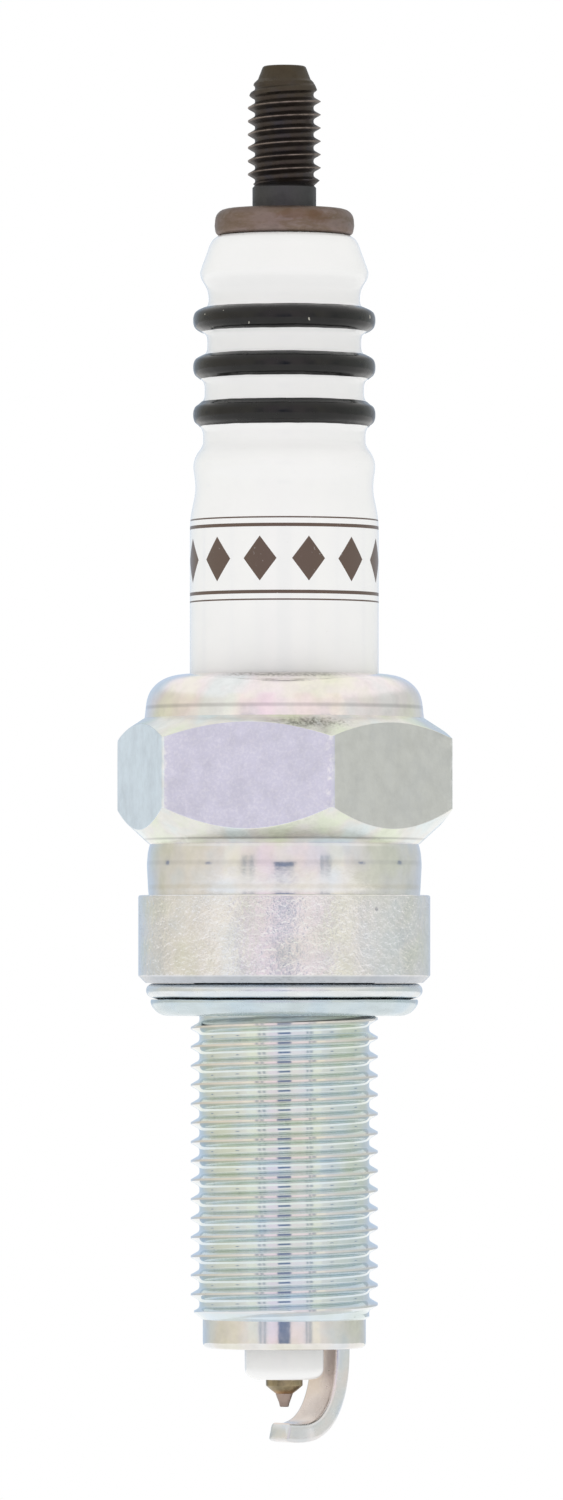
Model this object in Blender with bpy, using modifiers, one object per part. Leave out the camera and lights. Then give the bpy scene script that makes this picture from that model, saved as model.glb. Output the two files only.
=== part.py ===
"""Spark plug: M10 x 1 shell thread, 19 mm reach, 16 mm hexagon, M4 terminal thread.

The frame is metres with +Z up. The origin is on the plug's axis, in the sealing face of its
gasket, so the terminal points up and the firing end points down. Sizes below are millimetres.
"""

import math

import bmesh
import bpy
from mathutils import Matrix

MM = 0.001
GAP = 0.04                 # clearance between neighbouring pieces
SIDES = 24                 # facets round a turned surface
THREAD_SIDES = 20          # facets in one turn of the shell's thread
STUD_SIDES = 16            # facets in one turn of the terminal's thread

# Terminal stud
STUD_TOP = 50.03
STUD_THREAD_R = 1.92
STUD_ROOT_R = 1.53
STUD_PITCH = 0.7
STUD_THREAD_END = 43.87
STUD_SHANK_R = 1.69
STUD_SEAT_R = 1.98         # inner edge of the flat ring on the flange
STUD_FLANGE_R = 3.66
STUD_FLANGE_TOP = 42.45
STUD_BOTTOM = 12.0

# Insulator
INSULATOR_TOP = 41.05
TRUNK_R = 4.97
TRUNK_TOP = 25.8
RIB_R = 4.80
RIB_HEIGHT = 1.08
RIB_TOPS = (37.17, 34.69, 32.19)
RIB_NECKS = (4.04, 4.08, 4.20, 4.28)   # neck above the first rib, then below each rib
BAND_DEPTH = 0.34
BELLY_R = 6.06
BELLY_TOP = 11.6
BELLY_BOTTOM = 8.0
LEG_R = 3.55
LEG_SEAT = -7.0
NOSE_R = 2.08
NOSE_ROUND = 0.6
INSULATOR_BOTTOM = -19.1
BORE_R = 1.5
ELECTRODE_BORE_R = 1.0
ELECTRODE_SEAT = -4.6

# Conductive seals and resistor in the insulator's bore
RESISTOR_TOP = 9.0
RESISTOR_BOTTOM = 0.5
SEAL_BOTTOM = -3.12

# Centre electrode
HEAD_R = 1.46
STEM_R = 0.96
STEM_BOTTOM = -19.44
CONE_R = 0.43
CONE_BOTTOM = -19.85
CORE_R = 0.5
CORE_BOTTOM = -16.85
TIP_R = 0.25
TIP_BOTTOM = -20.55

# Shell
LIP_TOP = 17.95
LIP_UNDERSIDE = 17.3
DOME_R = 7.34
DOME_ROUND = 1.85
HEX_ACROSS_FLATS = 15.8
HEX_CORNER_ANGLE = -14.2   # degrees from +X
HEX_TOP = 15.66
HEX_CORNER_TOP = 14.5
HEX_CORNER_BOTTOM = 10.88
HEX_BOTTOM = 9.05
NECK_R = 7.15
NECK_BULGE_R = 7.23
FLANGE_R = 7.68
FLANGE_TOP = 6.33
FLANGE_CHAMFER = 2.1
SEAT_R = 7.3
SEAT_Z = 1.72
THREAD_R = 4.92
THREAD_ROOT_R = 4.36
THREAD_PITCH = 1.0
THREAD_TOP = 0.2
THREAD_END = -15.9
RELIEF_R = 4.3
NOSE_END_R = 4.28
SHELL_BOTTOM = -17.45
PACKING_BORE_R = 6.1
SHANK_BORE_R = 3.62
LEDGE_R = 2.78
LEDGE_TOP = -8.62
MOUTH_R = 2.9

# Packing under the crimped lip
RING_WIRE_R = 0.48
LOWER_RING_Z = 12.45
UPPER_RING_Z = 16.3

# Gasket, a folded steel sheet
SHEET = 0.30
GASKET_BORE_R = 4.66
GASKET_TOP = SEAT_Z - GAP
GASKET_FOLD_R = 7.3
GASKET_FOOT_R = 6.2
GASKET_LIP_R = 7.03

# Ground electrode
STRAP_ANGLE = 43.0         # degrees from +X, where the strap's root is welded
STRAP_ROOT_R = 3.29        # the middle of the strap's thickness, at its root
STRAP_THICKNESS = 0.98
STRAP_WIDTH = 2.2
STRAP_BOTTOM = -22.43
STRAP_CURVE = 2.4          # exponent of the quarter superellipse that the strap follows
STRAP_FOOT_R = 0.3         # where the curve has come level
STRAP_END = -0.36          # past the axis
STRAP_TAPER = 1.45
STRAP_END_WIDTH = 1.45
STRAP_BEVEL = 0.14

STEEL = ((0.72, 0.73, 0.72), 0.28, 1.0)
DARK_STEEL = ((0.06, 0.05, 0.04), 0.45, 1.0)
BROWN_STEEL = ((0.19, 0.15, 0.12), 0.5, 1.0)
PORCELAIN = ((0.86, 0.86, 0.86), 0.12, 0.0)
BLACK_GLAZE = ((0.03, 0.03, 0.03), 0.22, 0.0)
NICKEL = ((0.36, 0.32, 0.27), 0.4, 1.0)
COPPER = ((0.72, 0.35, 0.22), 0.35, 1.0)
IRIDIUM = ((0.42, 0.36, 0.32), 0.38, 1.0)
SEAL_GLASS = ((0.10, 0.09, 0.09), 0.3, 0.0)
CARBON_GLASS = ((0.04, 0.04, 0.05), 0.55, 0.0)
TALC = ((0.80, 0.79, 0.76), 0.9, 0.0)


def clear_scene():
    for item in list(bpy.data.objects):
        bpy.data.objects.remove(item, do_unlink=True)


def collection(name):
    group = bpy.data.collections.new(name)
    bpy.context.scene.collection.children.link(group)
    return group


def material(name, finish):
    colour, roughness, metallic = finish
    made = bpy.data.materials.new(name)
    made.use_nodes = True
    shader = made.node_tree.nodes["Principled BSDF"]
    shader.inputs["Base Color"].default_value = (*colour, 1.0)
    shader.inputs["Roughness"].default_value = roughness
    shader.inputs["Metallic"].default_value = metallic
    made.diffuse_color = (*colour, 1.0)
    return made


def arc(centre, radius, start, end, count):
    """Points on an arc about centre, from start to end degrees, both ends included."""
    points = []
    for step in range(count + 1):
        angle = math.radians(start + (end - start) * step / count)
        points.append((centre[0] + radius * math.cos(angle), centre[1] + radius * math.sin(angle)))
    return points


def mesh_object(name, mesh):
    made = bpy.data.objects.new(name, mesh)
    CUTTERS.objects.link(made)
    made.hide_render = True
    made.display_type = "WIRE"
    return made


def line_object(name, outline, closed):
    """Edges through (radius, height) points, in the plane y = 0."""
    points = [(radius * MM, 0.0, height * MM) for radius, height in outline]
    edges = [(index, index + 1) for index in range(len(points) - 1)]
    if closed:
        edges.append((len(points) - 1, 0))
    mesh = bpy.data.meshes.new(name)
    mesh.from_pydata(points, edges, [])
    return mesh_object(name, mesh)


def screw(target, sides, rise=0.0):
    turn = target.modifiers.new("Turn", "SCREW")
    turn.axis = "Z"
    turn.angle = math.tau
    turn.steps = sides
    turn.render_steps = sides
    turn.screw_offset = rise * MM
    turn.use_merge_vertices = rise == 0.0
    turn.merge_threshold = 1e-6
    return turn


def turned(name, outline, sides=SIDES, closed=False):
    """A solid of revolution. Its outline runs down the outer side; a ring's outline is closed."""
    made = line_object(name, outline, closed)
    screw(made, sides)
    return made


def baked(name, source):
    """A plain mesh object with source's modifiers applied; source is removed."""
    bpy.context.view_layer.update()
    graph = bpy.context.evaluated_depsgraph_get()
    mesh = bpy.data.meshes.new_from_object(source.evaluated_get(graph))
    made = mesh_object(name, mesh)
    made.matrix_world = source.matrix_world
    bpy.data.objects.remove(source, do_unlink=True)
    return made


def combine(target, operation, *others):
    """Boolean of target with each of the others, which are used up."""
    for other in others:
        cut = target.modifiers.new(operation.title(), "BOOLEAN")
        cut.operation = operation
        cut.object = other
        cut.solver = "EXACT"
    made = baked(target.name, target)
    for other in others:
        bpy.data.objects.remove(other, do_unlink=True)
    return made


def finish(name, source, look):
    """The finished piece: a plain mesh in the plug's collection, with its own material."""
    made = baked(name, source)
    CUTTERS.objects.unlink(made)
    PLUG.objects.link(made)
    made.name = name
    made.data.name = name
    made.hide_render = False
    made.display_type = "TEXTURED"
    made.data.materials.clear()
    made.data.materials.append(material(name, look))
    made.data.shade_smooth()
    made.data.set_sharp_from_angle(angle=math.radians(35.0))
    return made


def threaded_rod(name, crest_r, root_r, pitch, top, bottom, sides):
    """A right-hand threaded rod with 60 degree flanks, a little longer than top to bottom."""
    crest = pitch / 8.0
    flank = (crest_r - root_r) * math.tan(math.radians(30.0))
    root = pitch - crest - 2.0 * flank
    turns = math.ceil((top - bottom) / pitch) + 2
    start = top + pitch
    outline = [(0.0, start), (root_r, start)]
    for turn in range(turns):
        height = start - turn * pitch
        outline += [
            (root_r, height - root),
            (crest_r, height - root - flank),
            (crest_r, height - root - flank - crest),
            (root_r, height - pitch),
        ]
    outline.append((0.0, start - turns * pitch))
    rod = line_object(name, outline, closed=False)
    screw(rod, sides, rise=pitch)
    rod = baked(name, rod)
    shape = bmesh.new()
    shape.from_mesh(rod.data)
    bmesh.ops.remove_doubles(shape, verts=shape.verts, dist=1e-6)
    seam = [edge for edge in shape.edges if edge.is_boundary]
    bmesh.ops.holes_fill(shape, edges=seam, sides=0)
    bmesh.ops.recalc_face_normals(shape, faces=shape.faces)
    shape.to_mesh(rod.data)
    shape.free()
    return rod


def prism(name, points, depth):
    """A flat outline in its own XY plane, extruded to the given depth about that plane."""
    curve = bpy.data.curves.new(name, "CURVE")
    curve.dimensions = "2D"
    curve.fill_mode = "BOTH"
    curve.extrude = depth * MM / 2.0
    spline = curve.splines.new("POLY")
    spline.points.add(len(points) - 1)
    for place, (x, y) in zip(spline.points, points):
        place.co = (x * MM, y * MM, 0.0, 1.0)
    spline.use_cyclic_u = True
    made = mesh_object(name, curve)
    bpy.context.view_layer.update()
    made = baked(name, made)
    shape = bmesh.new()
    shape.from_mesh(made.data)
    bmesh.ops.remove_doubles(shape, verts=shape.verts, dist=1e-6)
    bmesh.ops.recalc_face_normals(shape, faces=shape.faces)
    shape.to_mesh(made.data)
    shape.free()
    return made


def terminal_stud():
    rod = threaded_rod(
        "stud_rod", STUD_THREAD_R, STUD_ROOT_R, STUD_PITCH, STUD_TOP, STUD_THREAD_END, STUD_SIDES
    )
    envelope = turned("stud_envelope", [
        (0.0, STUD_TOP), (1.05, STUD_TOP), (1.15, STUD_TOP - 0.08),
        (1.58, STUD_TOP - 1.2), (2.05, STUD_TOP - 1.7),
        (2.05, STUD_THREAD_END + 0.4), (1.4, STUD_THREAD_END - 0.25),
        (1.4, STUD_THREAD_END - 0.55), (0.0, STUD_THREAD_END - 0.55),
    ])
    rod = combine(rod, "INTERSECT", envelope)
    edge = 0.62
    outline = [(0.0, STUD_THREAD_END), (STUD_SHANK_R, STUD_THREAD_END),
               (STUD_SHANK_R, STUD_FLANGE_TOP + 0.15), (STUD_SEAT_R, STUD_FLANGE_TOP)]
    outline += arc((STUD_FLANGE_R - edge, STUD_FLANGE_TOP - edge), edge, 90.0, 0.0, 3)
    underside = INSULATOR_TOP + GAP
    outline += [(STUD_FLANGE_R, underside + 0.28), (STUD_FLANGE_R - 0.18, underside)]
    shank_r = BORE_R - GAP
    outline.append((shank_r, underside))
    groove_height = 0.8
    for groove in range(2):
        height = STUD_BOTTOM + groove_height * (2.5 - groove)
        outline += [(shank_r, height), (shank_r - 0.2, height - 0.2),
                    (shank_r - 0.2, height - 0.4), (shank_r, height - 0.6)]
    outline += [(shank_r, STUD_BOTTOM + 0.25), (shank_r - 0.25, STUD_BOTTOM), (0.0, STUD_BOTTOM)]
    body = turned("stud_body", outline)
    finish("terminal_stud", combine(body, "UNION", rod), DARK_STEEL)


def insulator_head():
    """The insulator's outer side, from its top edge down to the trunk."""
    outline = [(3.52, INSULATOR_TOP), (3.76, INSULATOR_TOP - 0.20), (3.98, INSULATOR_TOP - 0.55),
               (4.29, INSULATOR_TOP - 1.40), (4.44, INSULATOR_TOP - 1.95),
               (4.34, INSULATOR_TOP - 2.32), (4.06, INSULATOR_TOP - 2.85)]
    for rib, top in enumerate(RIB_TOPS):
        bottom = top - RIB_HEIGHT
        seat_r = RIB_R - BAND_DEPTH
        neck_r = RIB_NECKS[rib + 1]
        outline += [
            (RIB_NECKS[rib], top + 0.3), (RIB_NECKS[rib] + 0.1, top), (seat_r, top),
            (seat_r, bottom), (seat_r + 0.1, bottom),
            ((RIB_R + neck_r) / 2.0 - 0.18, bottom - 0.26), (neck_r, bottom - 0.6),
        ]
    return outline


def insulator():
    outline = insulator_head()
    outline += [(4.55, 29.8), (4.74, 29.35), (4.78, 28.9), (4.69, 28.2), (4.69, 27.6), (4.80, 26.9)]
    outline += [(TRUNK_R - 0.02, 26.1), (TRUNK_R, TRUNK_TOP), (TRUNK_R, 12.4)]
    outline += [(5.3, 11.95), (BELLY_R - 0.15, BELLY_TOP + 0.15), (BELLY_R, BELLY_TOP),
                (BELLY_R, BELLY_BOTTOM), (LEG_R, BELLY_BOTTOM - (BELLY_R - LEG_R)),
                (LEG_R, LEG_SEAT), (2.62, LEG_SEAT - (LEG_R - 2.62)), (2.45, -12.0)]
    outline += arc((NOSE_R - NOSE_ROUND, INSULATOR_BOTTOM + NOSE_ROUND), NOSE_ROUND, 0.0, -90.0, 3)
    outline += [(ELECTRODE_BORE_R, INSULATOR_BOTTOM), (ELECTRODE_BORE_R, ELECTRODE_SEAT - 0.5),
                (BORE_R, ELECTRODE_SEAT), (BORE_R, INSULATOR_TOP)]
    finish("insulator", turned("insulator", outline, closed=True), PORCELAIN)


def rib_bands():
    inner_r = RIB_R - BAND_DEPTH + GAP
    edge = 0.25
    for place, top in zip(("upper", "middle", "lower"), RIB_TOPS):
        high = top
        low = top - RIB_HEIGHT + GAP
        outline = [(inner_r, high), (RIB_R - edge, high), (RIB_R, high - edge),
                   (RIB_R, low + edge), (RIB_R - edge, low), (inner_r, low)]
        band = turned("band", outline, closed=True)
        finish("rib_band_" + place, band, BLACK_GLAZE)


def plain_rod(name, radius, top, bottom, look):
    rod = turned(name, [(0.0, top), (radius, top), (radius, bottom), (0.0, bottom)], sides=24)
    finish(name, rod, look)


def seals():
    radius = BORE_R - GAP
    plain_rod("upper_glass_seal", radius, STUD_BOTTOM - GAP, RESISTOR_TOP + GAP, SEAL_GLASS)
    plain_rod("resistor", radius, RESISTOR_TOP, RESISTOR_BOTTOM, CARBON_GLASS)
    plain_rod("lower_glass_seal", radius, RESISTOR_BOTTOM - GAP, SEAL_BOTTOM, SEAL_GLASS)


def center_electrode():
    head_top = SEAL_BOTTOM - GAP
    hole_r = CORE_R + GAP
    outline = [(HEAD_R, head_top), (HEAD_R, ELECTRODE_SEAT + 0.05),
               (STEM_R, ELECTRODE_SEAT - 0.45), (STEM_R, STEM_BOTTOM), (CONE_R, CONE_BOTTOM),
               (0.0, CONE_BOTTOM), (0.0, CORE_BOTTOM - GAP), (hole_r, CORE_BOTTOM - GAP),
               (hole_r, head_top)]
    finish("center_electrode", turned("electrode", outline, sides=24, closed=True), NICKEL)
    plain_rod("center_electrode_core", CORE_R, head_top, CORE_BOTTOM, COPPER)
    weld_top = CONE_BOTTOM - GAP
    outline = [(0.0, weld_top), (CONE_R - 0.03, weld_top), (CONE_R, weld_top - 0.06),
               (TIP_R + 0.09, weld_top - 0.26), (TIP_R + 0.03, weld_top - 0.42),
               (TIP_R, TIP_BOTTOM + 0.04), (TIP_R - 0.04, TIP_BOTTOM), (0.0, TIP_BOTTOM)]
    finish("iridium_tip", turned("tip", outline, sides=24), IRIDIUM)


def shell_hexagon():
    shape = bmesh.new()
    height = HEX_TOP - HEX_BOTTOM
    radius = HEX_ACROSS_FLATS / 2.0 / math.cos(math.radians(30.0))
    bmesh.ops.create_cone(
        shape, cap_ends=True, segments=6, depth=(height - 0.02) * MM,
        radius1=radius * MM, radius2=radius * MM,
    )
    shape.verts.ensure_lookup_table()
    first = shape.verts[0].co
    turn = math.radians(HEX_CORNER_ANGLE) - math.atan2(first.y, first.x)
    bmesh.ops.rotate(shape, verts=shape.verts, matrix=Matrix.Rotation(turn, 3, "Z"))
    bmesh.ops.translate(shape, verts=shape.verts, vec=(0.0, 0.0, (HEX_BOTTOM + height / 2.0) * MM))
    mesh = bpy.data.meshes.new("hexagon")
    shape.to_mesh(mesh)
    shape.free()
    hexagon = mesh_object("hexagon", mesh)
    corner_r = radius + 0.02
    envelope = turned("hex_envelope", [
        (0.0, HEX_TOP + 1.0), (DOME_R - 0.1, HEX_TOP + 1.0), (DOME_R - 0.1, HEX_TOP + 0.07),
        (corner_r, HEX_CORNER_TOP), (corner_r, HEX_CORNER_BOTTOM),
        (NECK_R - 0.1, HEX_BOTTOM - 0.08), (NECK_R - 0.1, HEX_BOTTOM - 1.0), (0.0, HEX_BOTTOM - 1.0),
    ], sides=48)
    return combine(hexagon, "INTERSECT", envelope)


def shell_body():
    """The shell without its hexagon and thread, as a solid bar."""
    outline = [(0.0, LIP_TOP), (DOME_R - DOME_ROUND, LIP_TOP)]
    outline += arc((DOME_R - DOME_ROUND, LIP_TOP - DOME_ROUND), DOME_ROUND, 72.0, 0.0, 4)
    outline += [(DOME_R, HEX_TOP - 0.5), (NECK_R, HEX_TOP - 1.0), (NECK_R, HEX_BOTTOM - 0.3),
                (NECK_BULGE_R, 8.2), (NECK_BULGE_R, 7.4), (NECK_R, 6.7),
                (NECK_R, FLANGE_TOP), (FLANGE_R - 0.2, FLANGE_TOP), (FLANGE_R, FLANGE_TOP - 0.2),
                (FLANGE_R, FLANGE_CHAMFER), (SEAT_R, SEAT_Z), (0.0, SEAT_Z)]
    return turned("shell_body", outline)


def shell_shank():
    rod = threaded_rod(
        "shell_rod", THREAD_R, THREAD_ROOT_R, THREAD_PITCH, SEAT_Z, SHELL_BOTTOM, THREAD_SIDES
    )
    rise = THREAD_R + 0.15
    envelope = turned("shank_envelope", [
        (0.0, SEAT_Z + 1.0), (RELIEF_R, SEAT_Z + 1.0), (RELIEF_R, THREAD_TOP),
        (rise, THREAD_TOP - (rise - RELIEF_R)), (rise, THREAD_END + (rise - NOSE_END_R)),
        (NOSE_END_R, THREAD_END), (NOSE_END_R, SHELL_BOTTOM + 0.2),
        (NOSE_END_R - 0.2, SHELL_BOTTOM), (0.0, SHELL_BOTTOM),
    ])
    return combine(rod, "INTERSECT", envelope)


def shell_bore():
    step = PACKING_BORE_R - SHANK_BORE_R
    shoulder = BELLY_BOTTOM - 1.1
    lip_r = TRUNK_R + GAP
    return turned("shell_bore", [
        (0.0, LIP_TOP + 1.0), (lip_r, LIP_TOP + 1.0), (lip_r, LIP_UNDERSIDE),
        (PACKING_BORE_R, LIP_UNDERSIDE - 0.4), (PACKING_BORE_R, shoulder),
        (SHANK_BORE_R, shoulder - step), (SHANK_BORE_R, LEDGE_TOP + (SHANK_BORE_R - LEDGE_R)),
        (LEDGE_R, LEDGE_TOP), (LEDGE_R, LEDGE_TOP - 2.0), (MOUTH_R, LEDGE_TOP - 2.3),
        (MOUTH_R, SHELL_BOTTOM - 1.0), (0.0, SHELL_BOTTOM - 1.0),
    ])


def metal_shell():
    shell = combine(shell_body(), "UNION", shell_hexagon())
    shell = combine(shell, "UNION", shell_shank())
    shell = combine(shell, "DIFFERENCE", shell_bore())
    finish("metal_shell", shell, STEEL)


def packing():
    middle = (TRUNK_R + PACKING_BORE_R) / 2.0
    for place, height in (("lower", LOWER_RING_Z), ("upper", UPPER_RING_Z)):
        circle = arc((middle, height), RING_WIRE_R, 90.0, -270.0, 8)[:-1]
        ring = turned("ring", circle, closed=True)
        finish(place + "_packing_ring", ring, STEEL)
    inner = TRUNK_R + GAP
    outer = PACKING_BORE_R - GAP
    top = UPPER_RING_Z - RING_WIRE_R - GAP
    bottom = LOWER_RING_Z + RING_WIRE_R + GAP
    powder = turned(
        "powder", [(inner, top), (outer, top), (outer, bottom), (inner, bottom)], closed=True
    )
    finish("talc_packing", powder, TALC)
    outer = SHANK_BORE_R - 0.1
    inner = LEDGE_R + 0.07
    upper_face = LEG_SEAT - LEG_R - 0.07
    lower_face = LEDGE_TOP - LEDGE_R + 0.07
    plate = turned("plate", [
        (outer, outer + upper_face), (outer, outer + lower_face),
        (inner, inner + lower_face), (inner, inner + upper_face),
    ], closed=True)
    finish("plate_packing", plate, STEEL)


def gasket():
    """A steel sheet folded to an S, turned about the axis: top layer, fold, middle layer, foot."""
    half = SHEET / 2.0
    top = GASKET_TOP - half
    bend = 0.22
    sheet = [(GASKET_BORE_R, top)]
    sheet += arc((GASKET_FOLD_R - half - bend, top - bend), bend, 90.0, -90.0, 3)
    inner_bend = (top - 2.0 * bend - 0.03 - half) / 2.0
    turn_r = GASKET_BORE_R + half + inner_bend
    sheet += arc((turn_r, half + inner_bend), inner_bend, 90.0, 270.0, 3)
    rise = GASKET_LIP_R - half - GASKET_FOOT_R
    sheet += arc((GASKET_FOOT_R, half + rise), rise, -90.0, -8.0, 3)
    made = line_object("gasket", sheet, closed=False)
    screw(made, SIDES)
    wall = made.modifiers.new("Sheet", "SOLIDIFY")
    wall.thickness = SHEET * MM
    wall.offset = 0.0
    wall.use_even_offset = True
    finish("gasket", made, STEEL)


def strap_sides():
    """The strap's inner and outer edges in side view, from its root to its end."""
    half = STRAP_THICKNESS / 2.0
    root = SHELL_BOTTOM - GAP
    across = STRAP_ROOT_R - STRAP_FOOT_R
    drop = root - (STRAP_BOTTOM + half)
    middle = []
    steps = 12
    for step in range(steps + 1):
        angle = math.radians(90.0) * step / steps
        radius = STRAP_FOOT_R + across * math.cos(angle) ** (2.0 / STRAP_CURVE)
        middle.append((radius, root - drop * math.sin(angle) ** (2.0 / STRAP_CURVE)))
    middle.append((STRAP_END, STRAP_BOTTOM + half + 0.06))
    inner = []
    outer = []
    last = len(middle) - 1
    for index, (radius, height) in enumerate(middle):
        back = middle[max(index - 1, 0)]
        ahead = middle[min(index + 1, last)]
        along = (ahead[0] - back[0], ahead[1] - back[1])
        length = math.hypot(*along)
        out = (-along[1] / length * half, along[0] / length * half)
        if index == 0:
            out = (half, 0.0)
        if index == last:
            out = (0.0, -half)
        outer.append((radius + out[0], height + out[1]))
        inner.append((radius - out[0], height - out[1]))
    return inner, outer


def ground_electrode():
    inner, outer = strap_sides()
    root = SHELL_BOTTOM - GAP
    outer_r = STRAP_ROOT_R + STRAP_THICKNESS / 2.0
    strap = prism("strap_side", outer + inner[::-1], STRAP_WIDTH)
    strap.matrix_world = Matrix.Rotation(math.radians(90.0), 4, "X")
    half = STRAP_WIDTH / 2.0 + 0.2
    end = STRAP_END_WIDTH / 2.0
    taper = STRAP_END + STRAP_TAPER
    plan = prism("strap_plan", [
        (STRAP_END - 0.2, end - 0.04), (STRAP_END - 0.2, 0.04 - end), (taper, 0.02 - STRAP_WIDTH / 2.0),
        (taper + 0.1, -half), (outer_r + 1.0, -half), (outer_r + 1.0, half), (taper + 0.1, half),
        (taper, STRAP_WIDTH / 2.0 - 0.02),
    ], 8.0)
    plan.location = (0.0, 0.0, (root - 3.0) * MM)
    strap = combine(strap, "INTERSECT", plan)
    soften = strap.modifiers.new("Soften", "BEVEL")
    soften.width = STRAP_BEVEL * MM
    soften.segments = 1
    soften.limit_method = "ANGLE"
    soften.angle_limit = math.radians(50.0)
    strap = baked("strap", strap)
    strap.data.transform(strap.matrix_world)
    strap.matrix_world = Matrix.Rotation(math.radians(STRAP_ANGLE), 4, "Z")
    finish("ground_electrode", strap, NICKEL)


def build():
    terminal_stud()
    insulator()
    rib_bands()
    seals()
    center_electrode()
    metal_shell()
    packing()
    gasket()
    ground_electrode()


clear_scene()
PLUG = collection("spark_plug")
CUTTERS = collection("cutters")
build()
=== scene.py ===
import math

import bmesh
import bpy
import numpy as np
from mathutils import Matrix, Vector


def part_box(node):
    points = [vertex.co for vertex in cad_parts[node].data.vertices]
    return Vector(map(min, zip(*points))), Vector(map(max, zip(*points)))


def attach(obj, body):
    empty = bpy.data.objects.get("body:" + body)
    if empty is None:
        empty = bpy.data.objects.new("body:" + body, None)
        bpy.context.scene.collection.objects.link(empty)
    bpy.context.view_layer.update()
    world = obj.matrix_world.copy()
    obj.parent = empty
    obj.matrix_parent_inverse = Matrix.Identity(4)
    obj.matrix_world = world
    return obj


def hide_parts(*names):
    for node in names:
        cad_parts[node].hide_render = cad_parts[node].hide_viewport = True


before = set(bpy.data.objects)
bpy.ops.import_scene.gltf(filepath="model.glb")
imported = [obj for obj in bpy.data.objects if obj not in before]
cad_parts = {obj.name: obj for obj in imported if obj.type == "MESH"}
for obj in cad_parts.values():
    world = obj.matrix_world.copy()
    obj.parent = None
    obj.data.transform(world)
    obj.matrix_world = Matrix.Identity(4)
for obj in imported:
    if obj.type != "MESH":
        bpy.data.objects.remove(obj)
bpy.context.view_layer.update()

MM = 0.001
PLUG_BODY = "plug"
GASKET_BODY = "gasket"
MERGE = 0.001              # points of a piece closer than this, in mm, are one
CLEARANCE = 0.04           # between touching pieces, in mm, as in the CAD


def top(node):
    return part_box(node)[1].z / MM


def bottom(node):
    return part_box(node)[0].z / MM


def reach(node):
    """The node's largest radius, in mm."""
    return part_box(node)[1].x / MM


# Sizes are in millimetres. Heights that the frame gives are read from it.
STUD_TOP = top("terminal_stud")
STUD_FLANGE_R = reach("terminal_stud")
STUD_BOTTOM = bottom("terminal_stud")
STUD_THREAD_R = 1.92
STUD_PITCH = 0.7
STUD_CREST_Z = 46.765      # a crest of the terminal's thread, at +X
STUD_ROOT_ROUND = 0.18
STUD_THREAD_END = 43.72
STUD_SHANK_R = 1.68
STUD_POINT_R = 1.12
STUD_POINT_SLOPE = 0.383
STUD_FLANGE_TOP = 42.45

INSULATOR_TOP = top("insulator")
INSULATOR_BOTTOM = bottom("insulator")
TRUNK_R = 4.97
RIB_R = reach("rib_band_upper")
RIBS = ("upper", "middle", "lower")
RIB_HEIGHT = 1.08
RIB_SHOULDER = 0.25        # how far the rib's shoulder lies inside its crest
RIB_NECKS = (3.98, 4.05, 4.19, 4.27)   # neck above the first rib, then below each rib
GLAZE = 0.04               # the black glaze's height above the white
PRINT_Z = 23.9             # the middle of the brown pattern
PRINT_COUNT = 12.0         # lozenges round the trunk
BELLY_R = reach("insulator")
LEG_R = 3.55
NOSE_R = 2.07
BORE_R = 1.5
ELECTRODE_BORE_R = 1.0
ELECTRODE_SEAT = -4.6

LIP_TOP = top("metal_shell")
SHELL_BOTTOM = bottom("metal_shell")
LIP_BORE_R = TRUNK_R + 0.05
DOME_R = 7.35
HEX_ACROSS_FLATS = 15.8
HEX_CORNER_ANGLE = -14.2   # degrees from +X
HEX_CORNER_ROUND = 0.22
HEX_EDGE_ROUND = 0.10
HEX_TOP = 15.66
HEX_UPPER_SLOPE = math.tan(math.radians(32.9))
HEX_BOTTOM = 9.05
HEX_LOWER_SLOPE = math.tan(math.radians(42.6))
NECK_R = 7.15
NECK_RIDGE_R = 7.225
NECK_RIDGE_Z = 7.95
FLANGE_R = 7.68
FLANGE_TOP = 6.33
FLANGE_CHAMFER = 2.1
SEAT_R = 7.3
SEAT_Z = 1.72
RELIEF_R = 4.60
THREAD_R = 4.92
THREAD_ROOT_ROUND = 0.22
THREAD_PITCH = 1.0
THREAD_CREST_Z = -0.15     # a crest of the shell's thread, at +X
THREAD_TOP = 0.15
THREAD_END = -15.95
THREAD_START_Z = 0.02      # where the thread starts to rise from the relief neck, and how fast
THREAD_START_SLOPE = 8.0
THREAD_END_SLOPE = 1.25    # how fast it falls away at the nose
NOSE_END_R = 4.285
MOUTH_R = 2.9
LEDGE_R = 2.78
LEDGE_TOP = -8.62
SHANK_BORE_R = 3.62
PACKING_BORE_R = 6.1

GASKET_TOP = top("gasket")
GASKET_R = reach("gasket")
GASKET_SHEET = 0.30
GASKET_BORE_R = 4.66

ELECTRODE_R = 0.965
ELECTRODE_HEAD_R = 1.46
CORE_BORE_R = 0.54
CORE_BORE_END = -16.89
ELECTRODE_END = bottom("center_electrode")
TIP_END = bottom("iridium_tip")

STRAP_ANGLE = 43.0         # degrees from +X
STRAP_ROOT_R = 3.29        # the middle of the strap's thickness, at its root
STRAP_THICKNESS = 0.98
STRAP_WIDTH = 2.2
STRAP_BOTTOM = bottom("ground_electrode")
STRAP_CURVE = 2.4          # exponent of the quarter superellipse that the strap follows
STRAP_FOOT_R = 0.3         # where the curve has come level
STRAP_END = -0.36
STRAP_TAPER = 1.45
STRAP_END_WIDTH = 1.45


# ---------------------------------------------------------------- outlines

def arc(centre, radius, start, end, count):
    """Points on an arc about centre, from start to end degrees, both ends included."""
    angles = np.radians(np.linspace(start, end, count + 1))
    return [(centre[0] + radius * math.cos(a), centre[1] + radius * math.sin(a)) for a in angles]


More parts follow.
